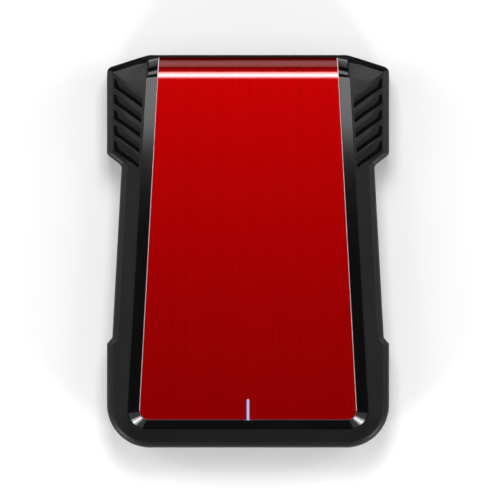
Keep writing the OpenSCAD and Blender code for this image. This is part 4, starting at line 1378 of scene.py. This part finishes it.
class DRIVE_OT_inner_drive(bpy.types.Operator):
    """Build the drive that lies in the bay, and what its case encloses"""

    bl_idname = "drive.inner_drive"
    bl_label = "Inner Drive"

    def execute(self, context):
        for node, name, slot, finish, width in (
            ("drive_case", "drive_case_milled", "drive_aluminium", "blasted_aluminium", 0.12),
            ("drive_cover", "drive_cover_pressed", "drive_cover_paint", "cover_paint", 0.15),
            ("sata_plug", "sata_plug_blades", "connector_plastic", "connector_black", 0.08),
            ("drive_board", "drive_board_mask_piece", "circuit_board", "drive_board_mask", 0.0),
            ("controller_pad", "controller_pad_soft", "thermal_silicone", "pink_silicone", 0.3),
        ):
            copy_as(node, name, "drive", slot, finish, width)
        for node in ("drive_controller", "cache_chip", *(f"memory_chip_{k}" for k in (1, 2, 3, 4))):
            chip_package(node, "drive")
        finish_node("sata_plug_contacts", "bright_gold")
        return {"FINISHED"}


class DRIVE_OT_soft_parts(bpy.types.Operator):
    """Build the rubber feet and the foam pads, and finish the plate's tape"""

    bl_idname = "drive.soft_parts"
    bl_label = "Feet and Pads"

    def execute(self, context):
        for node in FEET:
            copy_as(node, node + "_rubber", "base", "foot_rubber", "soft_rubber", 0.12)
        for node, body in (("bay_pad_left", "base"), ("bay_pad_right", "base"), ("lid_pad", "lid")):
            copy_as(node, node + "_foam", body, "foam", "grey_foam", 0.3)
        finish_node("plate_tape", "tape_white")
        return {"FINISHED"}


class DRIVE_OT_light_pipe(bpy.types.Operator):
    """Build the lit bar in the plate's slot"""

    bl_idname = "drive.light_pipe"
    bl_label = "Light Pipe"

    def execute(self, context):
        pipe = refined_copy("light_pipe", "lit_light_pipe", 0.1 * MM)
        dress(pipe, lit_plastic("lit_bar", tuple(context.scene.drive_finish.light)))
        settle(pipe, "lid", "clear_light_guide", "light_pipe")
        return {"FINISHED"}


# ---- Stage ---------------------------------------------------------------------------------

MIDDLE = Vector((0, 0, 0.02))
# The height whose outline the camera's place was matched at.
OUTLINE_Z = 18.5 * MM
CAMERA_X = 0.70 * MM
CAMERA_Y = 0.37 * MM
FLOOR_REACH = 12.0


def pale_paper(name, colour):
    """Matt paper that turns plain white far away from the object."""
    f = Finish(name, colour, 0.9, Emission_Color=(1, 1, 1, 1))
    away = f.node("ShaderNodeVectorMath", {0: f.place()}, operation="LENGTH").outputs["Value"]
    far = f.spread(away, From_Min=0.35, From_Max=1.2)
    ray = f.node("ShaderNodeLightPath").outputs
    seen = f.maths("MAXIMUM", ray["Is Camera Ray"], ray["Is Glossy Ray"])
    seen = f.maths("MAXIMUM", seen, ray["Is Transmission Ray"])
    f.set(Emission_Strength=f.maths("MULTIPLY", far, seen))
    return f.material


def area_lamp(name, centre, target, size, radiance):
    """A softbox of a given radiance, facing the target."""
    data = bpy.data.lights.new(name, "AREA")
    data.shape = "RECTANGLE"
    data.size, data.size_y = size
    data.energy = radiance * math.pi * size[0] * size[1]
    lamp = bpy.data.objects.new(name, data)
    lamp.location = centre
    lamp.rotation_euler = (Vector(target) - Vector(centre)).to_track_quat("-Z", "Y").to_euler()
    bpy.context.scene.collection.objects.link(lamp)


def towards(azimuth, tilt, distance):
    """A point seen from the middle at a tilt from vertical, towards an azimuth from +X, in degrees."""
    a, t = math.radians(azimuth), math.radians(tilt)
    return MIDDLE + distance * Vector((math.cos(a) * math.sin(t), math.sin(a) * math.sin(t), math.cos(t)))


def place_camera(scene, studio):
    """Looks straight down, from where the outline spans as much of the picture as it should."""
    data = bpy.data.cameras.new("camera")
    data.lens = studio.lens
    data.sensor_width = 36.0
    data.clip_start = 0.05
    data.clip_end = 50
    camera = bpy.data.objects.new("camera", data)
    distance = studio.view_width * studio.lens / data.sensor_width
    camera.location = (CAMERA_X, CAMERA_Y, OUTLINE_Z + distance)
    scene.collection.objects.link(camera)
    scene.camera = camera


def place_lamps(studio):
    """Softboxes over both ends, beside the lid, at the front corners and high at the sides."""
    area_lamp("key_core", towards(90, 26, 0.6), MIDDLE, (0.2, 0.19), studio.key * 0.6)
    area_lamp("key_soft", towards(90, 26, 0.62), MIDDLE, (0.22, 0.38), studio.key * 0.4)
    area_lamp("front_box", towards(270, 50, 0.8), (0, 0, 0), (0.8, 0.3), studio.front)
    area_lamp("horizon_box", (0, 0.6, 0.12), (0, 0.06, 0.02), (0.9, 0.2), studio.horizon)
    for side in (-1, 1):
        beside = (side * 0.42, 0.19, 0.2), (side * 0.03, 0.19, 0.024)
        area_lamp("side_box", *beside, (0.24, 0.2), studio.side)
        corner = (side * 0.305, -0.325, 0.15), (side * 0.04, -0.06, 0.02)
        for name, size, share in (
            ("corner_core", (0.05, 0.1), 0.66),
            ("corner_box", (0.15, 0.14), 0.22),
            ("corner_soft", (0.5, 0.2), 0.02),
        ):
            area_lamp(name, *corner, size, studio.corner * share)
        area_lamp("fill_box", towards(90 - side * 90, 45, 0.8), MIDDLE, (0.5, 0.5), studio.fill)


class DRIVE_OT_stage(bpy.types.Operator):
    """Set the camera, the pale floor and the soft lamps"""

    bl_idname = "drive.stage"
    bl_label = "Stage"

    def execute(self, context):
        scene, studio = context.scene, context.scene.drive_studio
        place_camera(scene, studio)
        r = FLOOR_REACH
        floor = mesh_object("floor", [(-r, -r, 0), (r, -r, 0), (r, r, 0), (-r, r, 0)], [(0, 1, 2, 3)])
        dress(floor, pale_paper("floor_paper", (0.93, 0.93, 0.93)))
        place_lamps(studio)
        scene.world = bpy.data.worlds.new("studio")
        scene.world.use_nodes = True
        sky = scene.world.node_tree.nodes["Background"].inputs
        sky["Color"].default_value = (0.8, 0.8, 0.8, 1)
        sky["Strength"].default_value = 0.03
        scene.view_settings.view_transform = "Standard"
        return {"FINISHED"}


class DRIVE_PT_panel(bpy.types.Panel):
    """Lists the drive's builders in the sidebar"""

    bl_label = "Portable Drive"
    bl_idname = "DRIVE_PT_panel"
    bl_space_type = "VIEW_3D"
    bl_region_type = "UI"
    bl_category = "Drive"

    def draw(self, context):
        for maker in MAKERS:
            self.layout.operator(maker.bl_idname)


MAKERS = (
    DRIVE_OT_surround_frame,
    DRIVE_OT_base_tray,
    DRIVE_OT_lid_shell,
    DRIVE_OT_face_plate,
    DRIVE_OT_light_pipe,
    DRIVE_OT_bridge_board,
    DRIVE_OT_small_parts,
    DRIVE_OT_inner_drive,
    DRIVE_OT_screws,
    DRIVE_OT_soft_parts,
    DRIVE_OT_stage,
)
GROUP_CLASSES = (CaseSizes, LidSizes, Finishes, Studio)
CLASSES = (*GROUP_CLASSES, *MAKERS, DRIVE_PT_panel)


def register():
    for entry in CLASSES:
        bpy.utils.register_class(entry)
    bpy.types.Scene.drive_case = PointerProperty(type=CaseSizes)
    bpy.types.Scene.drive_lid = PointerProperty(type=LidSizes)
    bpy.types.Scene.drive_finish = PointerProperty(type=Finishes)
    bpy.types.Scene.drive_studio = PointerProperty(type=Studio)


def unregister():
    for name in ("drive_case", "drive_lid", "drive_finish", "drive_studio"):
        delattr(bpy.types.Scene, name)
    for entry in reversed(CLASSES):
        bpy.utils.unregister_class(entry)


def main():
    register()
    for maker in MAKERS:
        group, name = maker.bl_idname.split(".")
        result = getattr(getattr(bpy.ops, group), name)()
        if result != {"FINISHED"}:
            raise RuntimeError(maker.bl_label + " did not finish")


if __name__ == "__main__":
    main()
